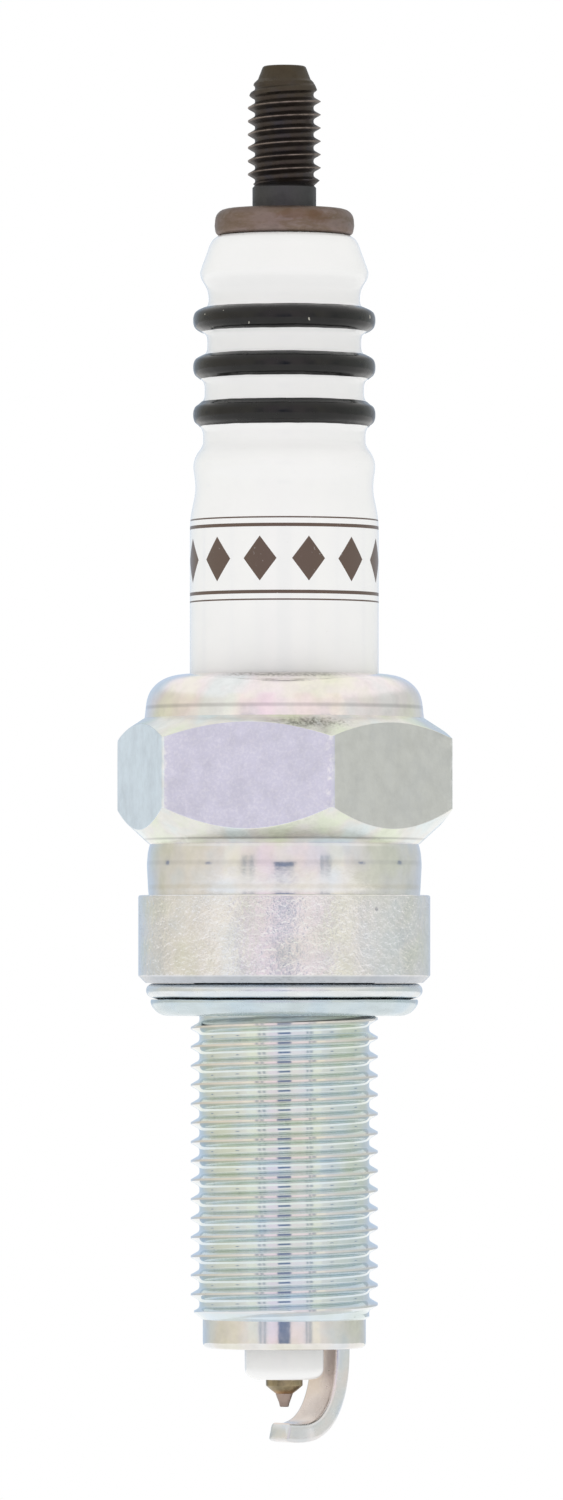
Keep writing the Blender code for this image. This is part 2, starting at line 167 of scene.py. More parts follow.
def rounded(corners, segments=5, closed=False):
    """A polyline through corners of (x, y) or (x, y, round), with each round drawn as an arc.

    A point just before and just after each arc keeps the straight stretches shaded flat.
    """
    count = len(corners)
    points = []
    for index, corner in enumerate(corners):
        here = np.array(corner[:2], float)
        ends = not closed and index in (0, count - 1)
        if len(corner) < 3 or ends:
            points.append(tuple(here))
            continue
        back = np.array(corners[index - 1][:2], float) - here
        ahead = np.array(corners[(index + 1) % count][:2], float) - here
        back_length = np.linalg.norm(back)
        ahead_length = np.linalg.norm(ahead)
        back /= back_length
        ahead /= ahead_length
        half = math.acos(max(-1.0, min(1.0, float(back @ ahead)))) / 2.0
        radius = corner[2]
        trim = radius / math.tan(half)
        centre = here + (back + ahead) / np.linalg.norm(back + ahead) * radius / math.sin(half)
        first = here + back * trim
        last = here + ahead * trim
        support = min(0.35 * radius, 0.3 * (min(back_length, ahead_length) - trim))
        if support > 0.004:
            points.append(tuple(first + back * support))
        start = first - centre
        finish = last - centre
        turn = math.atan2(start[0] * finish[1] - start[1] * finish[0], float(start @ finish))
        for step in range(segments + 1):
            angle = turn * step / segments
            x = start[0] * math.cos(angle) - start[1] * math.sin(angle)
            y = start[0] * math.sin(angle) + start[1] * math.cos(angle)
            points.append((centre[0] + x, centre[1] + y))
        if support > 0.004:
            points.append(tuple(last + ahead * support))
    return points


def flowing(points, steps=6):
    """A smooth curve through the points (Catmull-Rom)."""
    knots = np.array([points[0], *points, points[-1]], float)
    knots[0] = 2.0 * knots[1] - knots[2]
    knots[-1] = 2.0 * knots[-2] - knots[-3]
    made = []
    for index in range(1, len(knots) - 2):
        a, b, c, d = knots[index - 1:index + 3]
        for step in range(steps):
            t = step / steps
            made.append(tuple(0.5 * (
                2.0 * b + (c - a) * t + (2.0 * a - 5.0 * b + 4.0 * c - d) * t * t
                + (3.0 * b - a - 3.0 * c + d) * t ** 3
            )))
    made.append(tuple(knots[-2]))
    return made


def smooth_min(a, b, blend):
    """The smaller of a and b, blended where they are within blend of each other."""
    mixed = np.clip(0.5 + 0.5 * (b - a) / blend, 0.0, 1.0)
    return b * (1.0 - mixed) + a * mixed - blend * mixed * (1.0 - mixed)


def ripple(angle, height, seed):
    """A smooth, repeatable unevenness of about -1 to 1 over angle (radians) and height (mm)."""
    total = np.zeros(np.broadcast(angle, height).shape)
    for index in range(5):
        around = (3, 7, 11, 19, 29)[index]
        along = (0.9, 1.7, 2.9, 4.3, 6.1)[index]
        total = total + np.sin(around * angle + along * height + seed * (index + 1.3)) / (index + 1.5)
    return total / 1.6


# ---------------------------------------------------------------- meshes

def even_columns(count):
    return np.linspace(0.0, math.tau, count + 1)


def turned(outline, columns):
    """Sheet of points: one row for each (radius, height) of the outline, one column each angle."""
    outline = np.array(outline, float)
    radius = outline[:, 0][:, None]
    return np.stack([
        radius * np.cos(columns), radius * np.sin(columns),
        np.repeat(outline[:, 1][:, None], len(columns), axis=1),
    ], axis=2)


def thread_form(crest_r, pitch, root_round, crest_flat, root_flat):
    """One pitch of a 60 degree thread as (drop below the crest, radius), with a rounded root."""
    slope = math.tan(math.radians(30.0))
    middle = (pitch - root_flat) / 2.0
    tangent = middle - root_round * math.sin(math.radians(60.0))
    tangent_r = crest_r - (tangent - crest_flat / 2.0) / slope
    centre_r = tangent_r + root_round * math.cos(math.radians(60.0))
    half = [(0.0, crest_r), (crest_flat / 2.0, crest_r), (crest_flat / 2.0 + 0.015, crest_r - 0.026),
            ((tangent + crest_flat / 2.0) / 2.0, (tangent_r + crest_r) / 2.0)]
    fillet = [(middle + root_round * math.sin(angle), centre_r - root_round * math.cos(angle))
              for angle in np.radians(np.linspace(-60.0, 0.0, 6))]
    half += fillet
    return half + [(pitch - drop, radius) for drop, radius in half[:0:-1]]


def threaded(columns, form, pitch, crest_z, high, low, envelope):
    """Sheet of a right-hand thread between two heights, inside envelope(height)."""
    turns = math.ceil((high - low) / pitch) + 3
    start = crest_z + pitch * (math.ceil((high - crest_z) / pitch) + 1)
    drops = np.concatenate([np.array([point[0] for point in form]) + turn * pitch
                            for turn in range(turns)])
    radii = np.tile([point[1] for point in form], turns)
    height = (start - drops)[:, None] + pitch * (columns / math.tau)[None, :] - pitch
    height = np.clip(height, low, high)
    radius = np.repeat(radii[:, None], len(columns), axis=1)
    limit = envelope(height)
    radius = smooth_min(radius, limit, 0.03)
    at_end = np.clip(1.0 - np.minimum(high - height, height - low) / 0.12, 0.0, 1.0)
    radius = radius * (1.0 - at_end) + limit * at_end
    return np.stack([radius * np.cos(columns), radius * np.sin(columns), height], axis=2)


def piece(name, sheets, looks, body, nodes):
    """One object from sheets of (points, look number), merged where they meet, riding on a body."""
    verts = []
    faces = []
    marks = []
    base = 0
    for points, mark in sheets:
        rows, cols = points.shape[:2]
        verts.append(points.reshape(-1, 3))
        index = base + np.arange(rows * cols).reshape(rows, cols)
        quads = np.stack([
            index[:-1, :-1], index[1:, :-1], index[1:, 1:], index[:-1, 1:],
        ], axis=2).reshape(-1, 4)
        faces.append(quads)
        marks.append(np.full(len(quads), mark))
        base += rows * cols
    mesh = bpy.data.meshes.new(name)
    mesh.from_pydata((np.concatenate(verts) * MM).tolist(), [], np.concatenate(faces).tolist())
    mesh.polygons.foreach_set("material_index", np.concatenate(marks))
    shape = bmesh.new()
    shape.from_mesh(mesh)
    bmesh.ops.remove_doubles(shape, verts=shape.verts, dist=MERGE * MM)
    bmesh.ops.dissolve_degenerate(shape, edges=shape.edges, dist=1e-8)
    open_edges = [edge for edge in shape.edges if edge.is_boundary]
    if open_edges:
        bmesh.ops.holes_fill(shape, edges=open_edges, sides=0)
    bmesh.ops.recalc_face_normals(shape, faces=shape.faces)
    shape.to_mesh(mesh)
    shape.free()
    for look in looks:
        mesh.materials.append(look)
    mesh.shade_smooth()
    mesh.set_sharp_from_angle(angle=math.radians(40.0))
    made = bpy.data.objects.new(name, mesh)
    bpy.context.scene.collection.objects.link(made)
    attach(made, body)
    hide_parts(*nodes)
    return made


# ---------------------------------------------------------------- materials

class Nodes:
    """A node tree. Each helper adds a node and returns its output."""

    def node(self, kind, values, output=0, **settings):
        """A new node with its settings made, then its inputs fed, by name or number."""
        made = self.tree.nodes.new("ShaderNode" + kind)
        for key, value in settings.items():
            setattr(made, key, value)
        for key, value in values.items():
            self.feed(made.inputs[key], value)
        return made.outputs[output]

    def feed(self, socket, value):
        if isinstance(value, bpy.types.NodeSocket):
            self.tree.links.new(value, socket)
        elif socket.type == "RGBA" and len(value) == 3:
            socket.default_value = (*value, 1.0)
        else:
            socket.default_value = value

    def split(self, vector):
        """The x, y and z of a vector."""
        made = self.tree.nodes.new("ShaderNodeSeparateXYZ")
        self.feed(made.inputs[0], vector)
        return tuple(made.outputs)

    def math(self, operation, first, second=0.0, third=0.0):
        return self.node("Math", {0: first, 1: second, 2: third}, operation=operation)

    def times(self, first, second):
        return self.math("MULTIPLY", first, second)

    def minus(self, first, second):
        return self.math("SUBTRACT", first, second)

    def distance(self, value, middle):
        return self.math("ABSOLUTE", self.minus(value, middle))

    def mix(self, factor, first, second, blend="MIX"):
        return self.node(
            "Mix", {"Factor": factor, 6: first, 7: second}, 2, data_type="RGBA", blend_type=blend,
        )

    def span(self, value, low, high, ease="LINEAR"):
        """0 at low to 1 at high, clamped."""
        return self.node(
            "MapRange", {"Value": value, "From Min": low, "From Max": high}, interpolation_type=ease,
        )

    def ramp(self, factor, *stops, ease="LINEAR"):
        """A colour, or a grey, from stops of (position, colour or number)."""
        made = self.tree.nodes.new("ShaderNodeValToRGB")
        made.color_ramp.interpolation = ease
        elements = made.color_ramp.elements
        while len(elements) < len(stops):
            elements.new(0.5)
        for element, (position, colour) in zip(elements, stops):
            element.position = position
            element.color = (*(colour if isinstance(colour, tuple) else (colour,) * 3), 1.0)
        self.feed(made.inputs[0], factor)
        return made.outputs[0]


class Look(Nodes):
    """One procedural material, in millimetres of the object's own space."""

    def __init__(self, name, roughness, metallic=0.0):
        self.material = bpy.data.materials.new(name)
        self.material.use_nodes = True
        self.tree = self.material.node_tree
        self.shader = self.tree.nodes["Principled BSDF"]
        self.set("Roughness", roughness)
        self.set("Metallic", metallic)
        place = self.node("TexCoord", {}, "Object")
        self.place = self.node("VectorMath", {0: place, "Scale": 1.0 / MM}, "Vector", operation="SCALE")
        self.x, self.y, self.height = self.split(self.place)

    def set(self, socket, value):
        self.feed(self.shader.inputs[socket], value)

    def finish(self, colour):
        self.set("Base Color", colour)
        return self.material

    def vector(self, operation, first, second):
        return self.node("VectorMath", {0: first, 1: second}, "Vector", operation=operation)

    def noise(self, scale, detail=3.0, rough=0.5, stretch=(1.0, 1.0, 1.0), shift=0.0):
        """Noise of about 1 / scale mm, stretched by dividing each axis."""
        where = self.place
        if stretch != (1.0, 1.0, 1.0):
            where = self.vector("MULTIPLY", where, tuple(1.0 / value for value in stretch))
        if shift:
            where = self.vector("ADD", where, (shift, shift * 0.7, shift * 1.3))
        return self.node(
            "TexNoise", {"Vector": where, "Scale": scale, "Detail": detail, "Roughness": rough},
        )

    def bump(self, height, distance):
        """Relief of the given height in mm."""
        self.set("Normal", self.node("Bump", {"Strength": 1.0, "Distance": distance * MM, "Height": height}))

    def roughen(self, scale, detail, low, high):
        """Gloss that varies in blotches between two roughnesses."""
        self.set("Roughness", self.ramp(self.noise(scale, detail), (0.3, low), (0.7, high)))

    def azimuth(self):
        """The angle round the plug's axis in turns, 0 to 1 from -X through -Y, +X and +Y."""
        angle = self.math("ARCTAN2", self.y, self.x)
        return self.math("ADD", self.math("DIVIDE", angle, math.tau), 0.5)

    def radius(self):
        flat = self.vector("MULTIPLY", self.place, (1.0, 1.0, 0.0))
        return self.node("VectorMath", {0: flat}, "Value", operation="LENGTH")

    def level(self, low, high):
        """0 at height low to 1 at height high, clamped."""
        return self.span(self.height, low, high)

    def around(self, *stops, wander=0.015, size=0.35, ease="LINEAR"):
        """Colour from stops of (turn, seen colour) round the plug, wandering a little."""
        drift = self.minus(self.noise(size, 2.0, 0.5, stretch=(1.0, 1.0, 1.6)), 0.5)
        turn = self.math("ADD", self.azimuth(), self.times(drift, 2.0 * wander))
        return self.ramp(turn, *[(place, seen(*colour)) for place, colour in stops], ease=ease)

    def spot(self, turn, height, wide, tall, ragged=0.4, size=2.5, core=0.6):
        """Mask of a ragged mark of half width wide (turns) and half height tall (mm)."""
        across = self.math("DIVIDE", self.minus(self.azimuth(), turn), wide)
        up = self.math("DIVIDE", self.minus(self.height, height), tall)
        square = self.math("MULTIPLY_ADD", across, across, self.times(up, up))
        uneven = self.minus(self.noise(size, 4.0, 0.6), 0.5)
        away = self.math("MULTIPLY_ADD", uneven, 2.0 * ragged, self.math("SQRT", square))
        return self.span(away, 1.0, core)

    def ring(self, height, half, soft):
        """Mask of a level band round the plug."""
        return self.span(self.distance(self.height, height), half + soft, half)

    def stain(self, colour, mask, strength, tone):
        """The colour moved towards a seen tone where the mask is 1."""
        return self.mix(self.times(mask, strength), colour, seen(*tone))


def seen(red, green, blue):
    """The linear colour that a bright metal shows as this one, 0 to 255, in white light."""
    return tuple((value / 255.0) ** 2.2 for value in (red, green, blue))


def plated(name, roughness, relief, relief_size, soil=0.06):
    """Start of a zinc-plated look: uneven gloss, fine relief and a little soil."""
    look = Look(name, roughness, 1.0)
    wear = look.noise(3.0, 4.0, 0.6)
    look.set("Roughness", look.math("MULTIPLY_ADD", wear, 0.12, roughness - 0.06))
    look.bump(look.noise(relief_size, 3.0, 0.55), relief)
    look.soil = look.ramp(look.noise(1.1, 5.0, 0.65, shift=9.0), (0.25, 1.0 - 2.0 * soil), (0.6, 1.0))
    return look


def finish_plating(look, colour):
    return look.finish(look.mix(1.0, colour, look.soil, "MULTIPLY"))


def patina(look, yellow, middle, blue, size=0.4):
    """The plating's own colour, which drifts slowly and at random over the piece."""
    drift = look.noise(size, 3.0, 0.5, shift=21.0)
    return look.ramp(drift, (0.36, seen(*yellow)), (0.5, seen(*middle)), (0.64, seen(*blue)))


def dome_plating():
    look = plated("plating_dome", 0.15, 0.004, 1.2)
    colour = patina(look, (240, 239, 222), (243, 234, 236), (234, 238, 240), 0.25)
    # A dark ring in the crimp's crease: partly soil, partly painted shade.
    colour = look.stain(colour, look.ring(16.2, 0.04, 0.10), 0.35, (130, 130, 134))
    # Dark marks across the lip's -Y side, by the insulator: partly grit, partly painted shade in the gap
    # there.
    lip = look.spot(0.25, LIP_TOP - 0.06, 0.105, 0.24, 0.6, 6.0, 0.6)
    lip = look.times(lip, look.ramp(look.noise(5.0, 4.0, 0.7, shift=14.0), (0.42, 0.3), (0.56, 1.0)))
    colour = look.stain(colour, lip, 0.8, (112, 110, 104))
    return finish_plating(look, colour)


def chamfer_plating():
    look = plated("plating_chamfers", 0.20, 0.006, 1.6)
    colour = patina(look, (224, 230, 212), (227, 226, 221), (220, 229, 230))
    scuff = look.spot(0.278, 15.25, 0.045, 0.34, 0.9, 7.0, 0.2)
    grit = look.ramp(look.noise(5.0, 4.0, 0.7, shift=15.0), (0.42, 0.2), (0.55, 1.0))
    colour = look.stain(colour, look.times(scuff, grit), 0.85, (118, 118, 110))
    # A dark ring low on the lower chamfer, by the neck: partly painted shade.
    colour = look.stain(colour, look.ring(HEX_BOTTOM + 0.22, 0.02, 0.06), 0.45, (128, 128, 126))
    return finish_plating(look, colour)


def flat_plating():
    look = plated("plating_flats", 0.46, 0.012, 4.5)
    corner = -HEX_CORNER_ANGLE / 360.0
    first = 0.5 - corner - 1.0 / 6.0 * 2.0
    # Each flat has its own tone. The flats towards -Y take the tints that reflections give them there, so
    # their tones are partly painted reflection.
    tones = [
        (212, 212, 230), (208, 209, 206), (206, 214, 204), (216, 214, 196), (206, 204, 216),
        (228, 238, 246),
    ]
    stops = [(0.0, tones[-1])]
    stops += [(first + index / 6.0, tones[index]) for index in range(6) if first + index / 6.0 > 0.0]
    colour = look.around(*stops, wander=0.0, ease="CONSTANT")
    # Bright flecks on the flat facing -Y only: painted glints.
    bright = look.ramp(look.noise(6.5, 3.0, 0.7, shift=5.0), (0.46, 0.0), (0.64, 1.0))
    turn = look.azimuth()
    painted_glint_flat = look.times(look.span(turn, 0.127, 0.130), look.span(turn, 0.2945, 0.2915))
    colour = look.stain(colour, look.times(bright, painted_glint_flat), 0.26, (248, 247, 252))
    chips = look.ramp(look.noise(2.2, 6.0, 0.75, shift=12.0), (0.47, 0.0), (0.60, 1.0))
    for corner, reach_in, strength in ((0.2925, 0.0060, 0.7), (0.1285, 0.0045, 0.6), (0.4606, 0.004, 0.6),
                                       (0.6272, 0.004, 0.6), (0.7939, 0.004, 0.6), (0.9606, 0.004, 0.6)):
        away = look.distance(turn, corner)
        edge = look.times(look.span(away, reach_in, 0.001), chips)
        colour = look.stain(colour, edge, strength, (250, 250, 250))
    dull = look.ramp(look.noise(0.45, 4.0, 0.6, shift=2.0), (0.38, 1.0), (0.52, 0.0))
    colour = look.stain(colour, dull, 0.12, (176, 180, 190))
    return finish_plating(look, colour)


def neck_plating():
    look = plated("plating_neck", 0.13, 0.006, 1.4)
    colour = patina(look, (226, 225, 216), (228, 226, 226), (222, 226, 232))
    # Two darker rings, along the ridge and above the flange: partly painted shade.
    colour = look.stain(colour, look.ring(8.02, 0.05, 0.12), 0.22, (176, 176, 180))
    colour = look.stain(colour, look.ring(6.75, 0.05, 0.14), 0.25, (196, 186, 160))
    return finish_plating(look, colour)


def flange_plating():
    look = plated("plating_flange", 0.20, 0.045, 3.6)
    colour = patina(look, (229, 229, 222), (233, 231, 231), (227, 229, 233))
    bright = look.ramp(look.noise(4.5, 3.0, 0.65, shift=3.0), (0.52, 0.0), (0.68, 1.0))
    colour = look.stain(colour, bright, 0.25, (248, 248, 246))
    # Darker and bluer from the lower chamfer down, where the flange faces down: partly painted shade.
    chamfer = look.level(FLANGE_CHAMFER + 0.05, FLANGE_CHAMFER - 0.08)
    colour = look.stain(colour, chamfer, 0.8, (172, 178, 186))
    colour = look.stain(colour, look.spot(0.3575, 5.55, 0.003, 0.14, 0.3), 0.6, (150, 150, 160))
    return finish_plating(look, colour)


def thread_plating():
    look = plated("plating_thread", 0.09, 0.002, 2.0, 0.03)
    colour = patina(look, (217, 225, 215), (220, 228, 226), (214, 225, 230))
    crest = look.span(look.radius(), THREAD_R - 0.22, THREAD_R - 0.02)
    colour = look.stain(colour, crest, 0.6, (236, 224, 218))
    low = look.level(-5.0, THREAD_END)
    colour = look.stain(colour, low, 0.30, (204, 220, 240))
    dull = look.level(-0.60, -0.10)
    look.set("Metallic", look.math("MULTIPLY_ADD", dull, -0.6, 1.0))
    return finish_plating(look, colour)


def nose_plating():
    look = plated("plating_nose", 0.12, 0.003, 2.0)
    colour = patina(look, (226, 224, 214), (228, 225, 222), (222, 226, 230))
    return finish_plating(look, colour)


def porcelain():
    look = Look("porcelain_glaze", 0.12)
    white = look.ramp(look.noise(0.5, 3.0), (0.3, (0.868, 0.874, 0.878)), (0.7, (0.884, 0.889, 0.892)))
    speck = look.ramp(look.noise(2.6, 2.0, 0.4), (0.0, 0.0), (0.76, 0.0), (0.80, 0.25))
    white = look.mix(speck, white, (0.70, 0.69, 0.66))
    printed = brown_print(look)
    look.set("Base Color", look.mix(printed, white, (0.105, 0.068, 0.052)))
    look.set("Roughness", look.math("MULTIPLY_ADD", printed, 0.2, 0.11))
    look.bump(look.noise(0.9, 2.0), 0.006)
    return look.material


def brown_print(look):
    """Mask of a plain printed pattern: a row of lozenges between two pairs of fine rings."""
    turn = look.times(look.azimuth(), PRINT_COUNT)
    across = look.distance(look.math("FRACT", turn), 0.5)
    up = look.distance(look.height, PRINT_Z)
    lozenge = look.math("ADD", look.times(across, 2.9), look.times(up, 0.85))
    mask = look.math("LESS_THAN", lozenge, 1.0)
    for centre, half in ((1.75, 0.09), (2.15, 0.04)):
        off = look.distance(up, centre)
        mask = look.math("MAXIMUM", mask, look.math("LESS_THAN", off, half))
    worn = look.ramp(look.noise(6.0, 3.0, 0.6), (0.20, 0.6), (0.34, 1.0))
    return look.times(mask, worn)


def black_glaze():
    look = Look("black_glaze", 0.2)
    look.set("IOR", 1.42)
    colour = look.ramp(look.noise(1.6, 4.0), (0.3, (0.003, 0.003, 0.003)), (0.7, (0.008, 0.0075, 0.007)))
    highest = look.level(top("rib_band_upper") - 2.0, top("rib_band_upper") - 1.6)
    speck = look.ramp(look.noise(3.1, 1.0, 0.3, shift=4.0), (0.0, 0.0), (0.775, 0.0), (0.79, 0.8))
    colour = look.mix(look.times(speck, highest), colour, (0.5, 0.48, 0.42))
    look.roughen(2.2, 3.0, 0.12, 0.30)
    look.bump(look.noise(1.5, 4.0, 0.6), 0.016)
    return look.finish(colour)


def terminal_steel():
    """Dark oxide on the stud, browner and mottled on the flange, rubbed bare on the crests."""
    look = Look("terminal_oxide", 0.5, 1.0)
    oxide = look.ramp(
        look.noise(0.9, 4.0, 0.6), (0.3, (0.055, 0.044, 0.044)), (0.5, (0.068, 0.056, 0.048)),
        (0.7, (0.060, 0.056, 0.066)),
    )
    upper = look.level(STUD_TOP - 2.6, STUD_TOP - 0.2)
    oxide = look.mix(look.times(upper, 0.7), oxide, (0.075, 0.060, 0.036))
    mottled = look.ramp(
        look.noise(0.8, 4.0, 0.6, stretch=(1.8, 1.8, 0.6)), (0.25, (0.150, 0.122, 0.104)),
        (0.42, (0.245, 0.188, 0.170)), (0.55, (0.190, 0.140, 0.108)), (0.68, (0.270, 0.215, 0.200)),
    )
    upper_rim = look.level(STUD_FLANGE_TOP - 0.42, STUD_FLANGE_TOP - 0.12)
    mottled = look.mix(look.times(upper_rim, 0.55), mottled, (0.12, 0.085, 0.065))
    for turn, drop, wide, tall, strength in (
        (0.285, 0.45, 0.060, 0.34, 0.5), (0.335, 0.55, 0.035, 0.40, 0.5), (0.60, 0.6, 0.05, 0.3, 0.5),
    ):
        rust = look.spot(turn, STUD_FLANGE_TOP - drop, wide, tall, 0.9, 1.6)
        mottled = look.mix(look.times(rust, strength), mottled, (0.15, 0.088, 0.052))
    flange = look.level(STUD_FLANGE_TOP + 0.06, STUD_FLANGE_TOP - 0.02)
    colour = look.mix(flange, oxide, mottled)
    shank = look.level(STUD_THREAD_END + 0.15, STUD_THREAD_END - 0.15)
    shank = look.times(shank, look.minus(1.0, flange))
    colour = look.mix(shank, colour, (0.075, 0.075, 0.078))
    crest = look.span(look.radius(), STUD_THREAD_R - 0.09, STUD_THREAD_R - 0.02)
    crest = look.times(crest, look.level(STUD_THREAD_END, STUD_THREAD_END + 0.2))
    rubbed = look.ramp(look.noise(3.0, 3.0), (0.3, 0.35), (0.7, 1.0))
    colour = look.mix(look.times(crest, rubbed), colour, (0.30, 0.25, 0.22))
    look.roughen(2.0, 4.0, 0.42, 0.58)
    look.bump(look.noise(6.0, 4.0, 0.6), 0.010)
    return look.finish(colour)


def nickel(name, colour, dark, roughness, relief=0.006):
    """Drawn or turned nickel alloy, with faint drifting tints."""
    look = Look(name, roughness, 1.0)
    base = look.ramp(look.noise(0.8, 4.0, 0.6), (0.3, dark), (0.65, colour))
    grain = look.noise(7.0, 3.0, 0.6, stretch=(1.0, 1.0, 3.0))
    look.set("Roughness", look.math("MULTIPLY_ADD", grain, 0.14, roughness - 0.06))
    look.bump(look.noise(9.0, 3.0, 0.6), relief)
    return look.finish(base)


def electrode_nickel():
    """Bronze-tinted nickel, darker at its rim and orange by the weld with the iridium."""
    look = Look("electrode_nickel", 0.32, 1.0)
    colour = look.ramp(look.noise(0.8, 4.0, 0.6), (0.3, (0.24, 0.20, 0.13)), (0.65, (0.38, 0.31, 0.19)))
    streak = look.ramp(look.noise(2.0, 3.0, 0.6, stretch=(1.0, 1.0, 2.5)), (0.35, 0.65), (0.6, 1.0))
    colour = look.mix(1.0, colour, streak, "MULTIPLY")
    hot = look.level(ELECTRODE_END + 0.24, ELECTRODE_END + 0.04)
    colour = look.mix(look.times(hot, 0.75), colour, (0.38, 0.20, 0.085))
    look.roughen(6.0, 3.0, 0.26, 0.42)
    look.bump(look.noise(9.0, 3.0, 0.6), 0.006)
    return look.finish(colour)


def strap_alloy():
    """Pinkish brown inside the bend, where it was heated, with painted shade low in the bend, and silvery on
    its sides and back.
    """
    look = Look("strap_nickel", 0.3, 1.0)
    across = math.radians(STRAP_ANGLE)
    out = look.math("ADD", look.times(look.x, math.cos(across)),
                    look.times(look.y, math.sin(across)))
    side = look.minus(look.times(look.y, math.cos(across)),
                     look.times(look.x, math.sin(across)))
    silver = look.ramp(look.noise(0.7, 3.0, 0.5), (0.3, seen(206, 214, 226)), (0.5, seen(220, 222, 224)),
                       (0.7, seen(228, 222, 220)))
    inner = look.ramp(look.noise(0.9, 3.0, 0.5), (0.3, seen(224, 210, 203)), (0.7, seen(238, 226, 219)))
    # Darker low in the bend on the inner face: painted shade.
    low = look.level(STRAP_BOTTOM + 2.6, STRAP_BOTTOM + 0.9)
    bend = look.times(low, look.span(out, 0.3, 1.6))
    inner = look.mix(look.times(bend, 0.5), inner, seen(190, 184, 178))
    taper_start = STRAP_END + STRAP_TAPER
    narrowing = look.times(look.span(out, taper_start, STRAP_END),
                          (STRAP_WIDTH - STRAP_END_WIDTH) / 2.0)
    edge = look.math("ADD", look.math("ABSOLUTE", side), narrowing)
    on_side = look.span(edge, STRAP_WIDTH / 2.0 - 0.12, STRAP_WIDTH / 2.0 - 0.05)
    face = look.minus(1.0, on_side)
    face = look.times(face, look.level(STRAP_BOTTOM + 0.93, STRAP_BOTTOM + 1.02))
    colour = look.mix(look.times(face, look.span(out, 3.6, 3.3)), silver, inner)
    shaded = look.times(look.span(out, taper_start, taper_start - 0.5), on_side)
    colour = look.mix(look.times(shaded, 0.55), colour, seen(196, 202, 206))
    look.roughen(3.0, 3.0, 0.20, 0.28)
    look.bump(look.noise(3.0, 3.0, 0.6), 0.004)
    return look.finish(colour)


def gasket_steel():
    look = Look("gasket_plating", 0.24, 1.0)
    base = patina(look, (221, 224, 224), (227, 230, 231), (219, 226, 232))
    # Darker and bluer below the lower fold, where the gasket faces down: painted shade.
    lower = look.level(0.95, 0.85)
    base = look.mix(lower, base, look.mix(1.0, base, seen(228, 238, 242), "MULTIPLY"))
    streak = look.ramp(look.noise(1.2, 3.0, 0.6, stretch=(2.0, 2.0, 0.3)), (0.3, 0.90), (0.6, 1.0))
    look.set("Base Color", look.mix(1.0, base, streak, "MULTIPLY"))
    look.roughen(2.0, 3.0, 0.2, 0.3)
    look.bump(look.noise(1.6, 2.0, 0.5), 0.006)
    return look.material


def plain_inner(name, light, dark, roughness, metallic, size):
    """The hidden pieces: a fine two-tone grain."""
    look = Look(name, roughness, metallic)
    look.set("Base Color", look.ramp(look.noise(size, 4.0, 0.6), (0.35, dark), (0.65, light)))
    look.roughen(size * 2.0, 3.0, roughness, roughness + 0.15)
    look.bump(look.noise(size * 2.0, 3.0), 0.01)
    return look.material


# ---------------------------------------------------------------- terminal

def terminal():
    columns = even_columns(96)
    lead_z = STUD_TOP - 0.70

    def cone(height):
        return STUD_POINT_R + (STUD_TOP - height) * STUD_POINT_SLOPE

    def envelope(height):
        lead = cone(height) + 0.13 * np.clip((lead_z - height) / 0.2, 0.0, 1.0)
        run_out = STUD_SHANK_R - 0.12 + (height - STUD_THREAD_END) * 1.1
        return np.minimum(np.minimum(lead, run_out), STUD_THREAD_R + 0.3)

    tip = rounded([(0.0, STUD_TOP), (STUD_POINT_R, STUD_TOP, 0.16), (cone(lead_z), lead_z)])
    form = thread_form(STUD_THREAD_R, STUD_PITCH, STUD_ROOT_ROUND, 0.04, 0.02)
    thread = threaded(
        columns, form, STUD_PITCH, STUD_CREST_Z, lead_z, STUD_THREAD_END, envelope,
    )
    underside = INSULATOR_TOP + CLEARANCE
    shank_r = BORE_R - CLEARANCE
    lower = rounded([
        (STUD_SHANK_R - 0.12, STUD_THREAD_END), (STUD_SHANK_R, STUD_THREAD_END - 0.12, 0.06),
        (STUD_SHANK_R, STUD_FLANGE_TOP, 0.10), (STUD_FLANGE_R - 0.05, STUD_FLANGE_TOP + 0.02, 0.6),
        (STUD_FLANGE_R + 0.02, underside + 0.5), (STUD_FLANGE_R - 0.06, underside, 0.26),
        (shank_r, underside), (shank_r, STUD_BOTTOM, 0.2), (0.0, STUD_BOTTOM),
    ], segments=7)
    flange = turned(lower, columns)
    swell = ripple(columns[None, :], flange[:, :, 2], 2.0) * 0.02
    radius = np.hypot(flange[:, :, 0], flange[:, :, 1])
    outer = np.clip((radius - 2.4) / 1.0, 0.0, 1.0) * (flange[:, :, 2] > underside + 0.05)
    flange[:, :, :2] *= (1.0 + swell * outer / np.maximum(radius, 1.0))[:, :, None]
    steel = terminal_steel()
    piece(
        "terminal", [(turned(tip, columns), 0), (thread, 0), (flange, 0)], [steel],
        PLUG_BODY, ["terminal_stud"],
    )


# ---------------------------------------------------------------- insulator

def rib_outline(index):
    """One rib, round like a cord, flowing into the neck above it and the neck below it."""
    middle = top("rib_band_" + RIBS[index]) + 0.02 - RIB_HEIGHT / 2.0 - 0.04
    above = RIB_NECKS[index]
    below = RIB_NECKS[index + 1]
    rib_r = RIB_R - GLAZE
    shoulder = rib_r - RIB_SHOULDER
    return flowing([(radius, middle + rise) for radius, rise in (
        (above, 1.16), (above + 0.015, 0.96), (above + 0.09, 0.75),
        ((shoulder + above + 0.10) / 2.0, 0.61), (shoulder, 0.51), (rib_r - 0.09, 0.38),
        (rib_r - 0.015, 0.19), (rib_r, 0.0), (rib_r - 0.015, -0.19), (rib_r - 0.09, -0.38),
        (shoulder, -0.52), ((shoulder + below + 0.09) / 2.0, -0.62), (below + 0.08, -0.76),
        (below + 0.015, -0.96), (below, -1.16),
    )], 5)


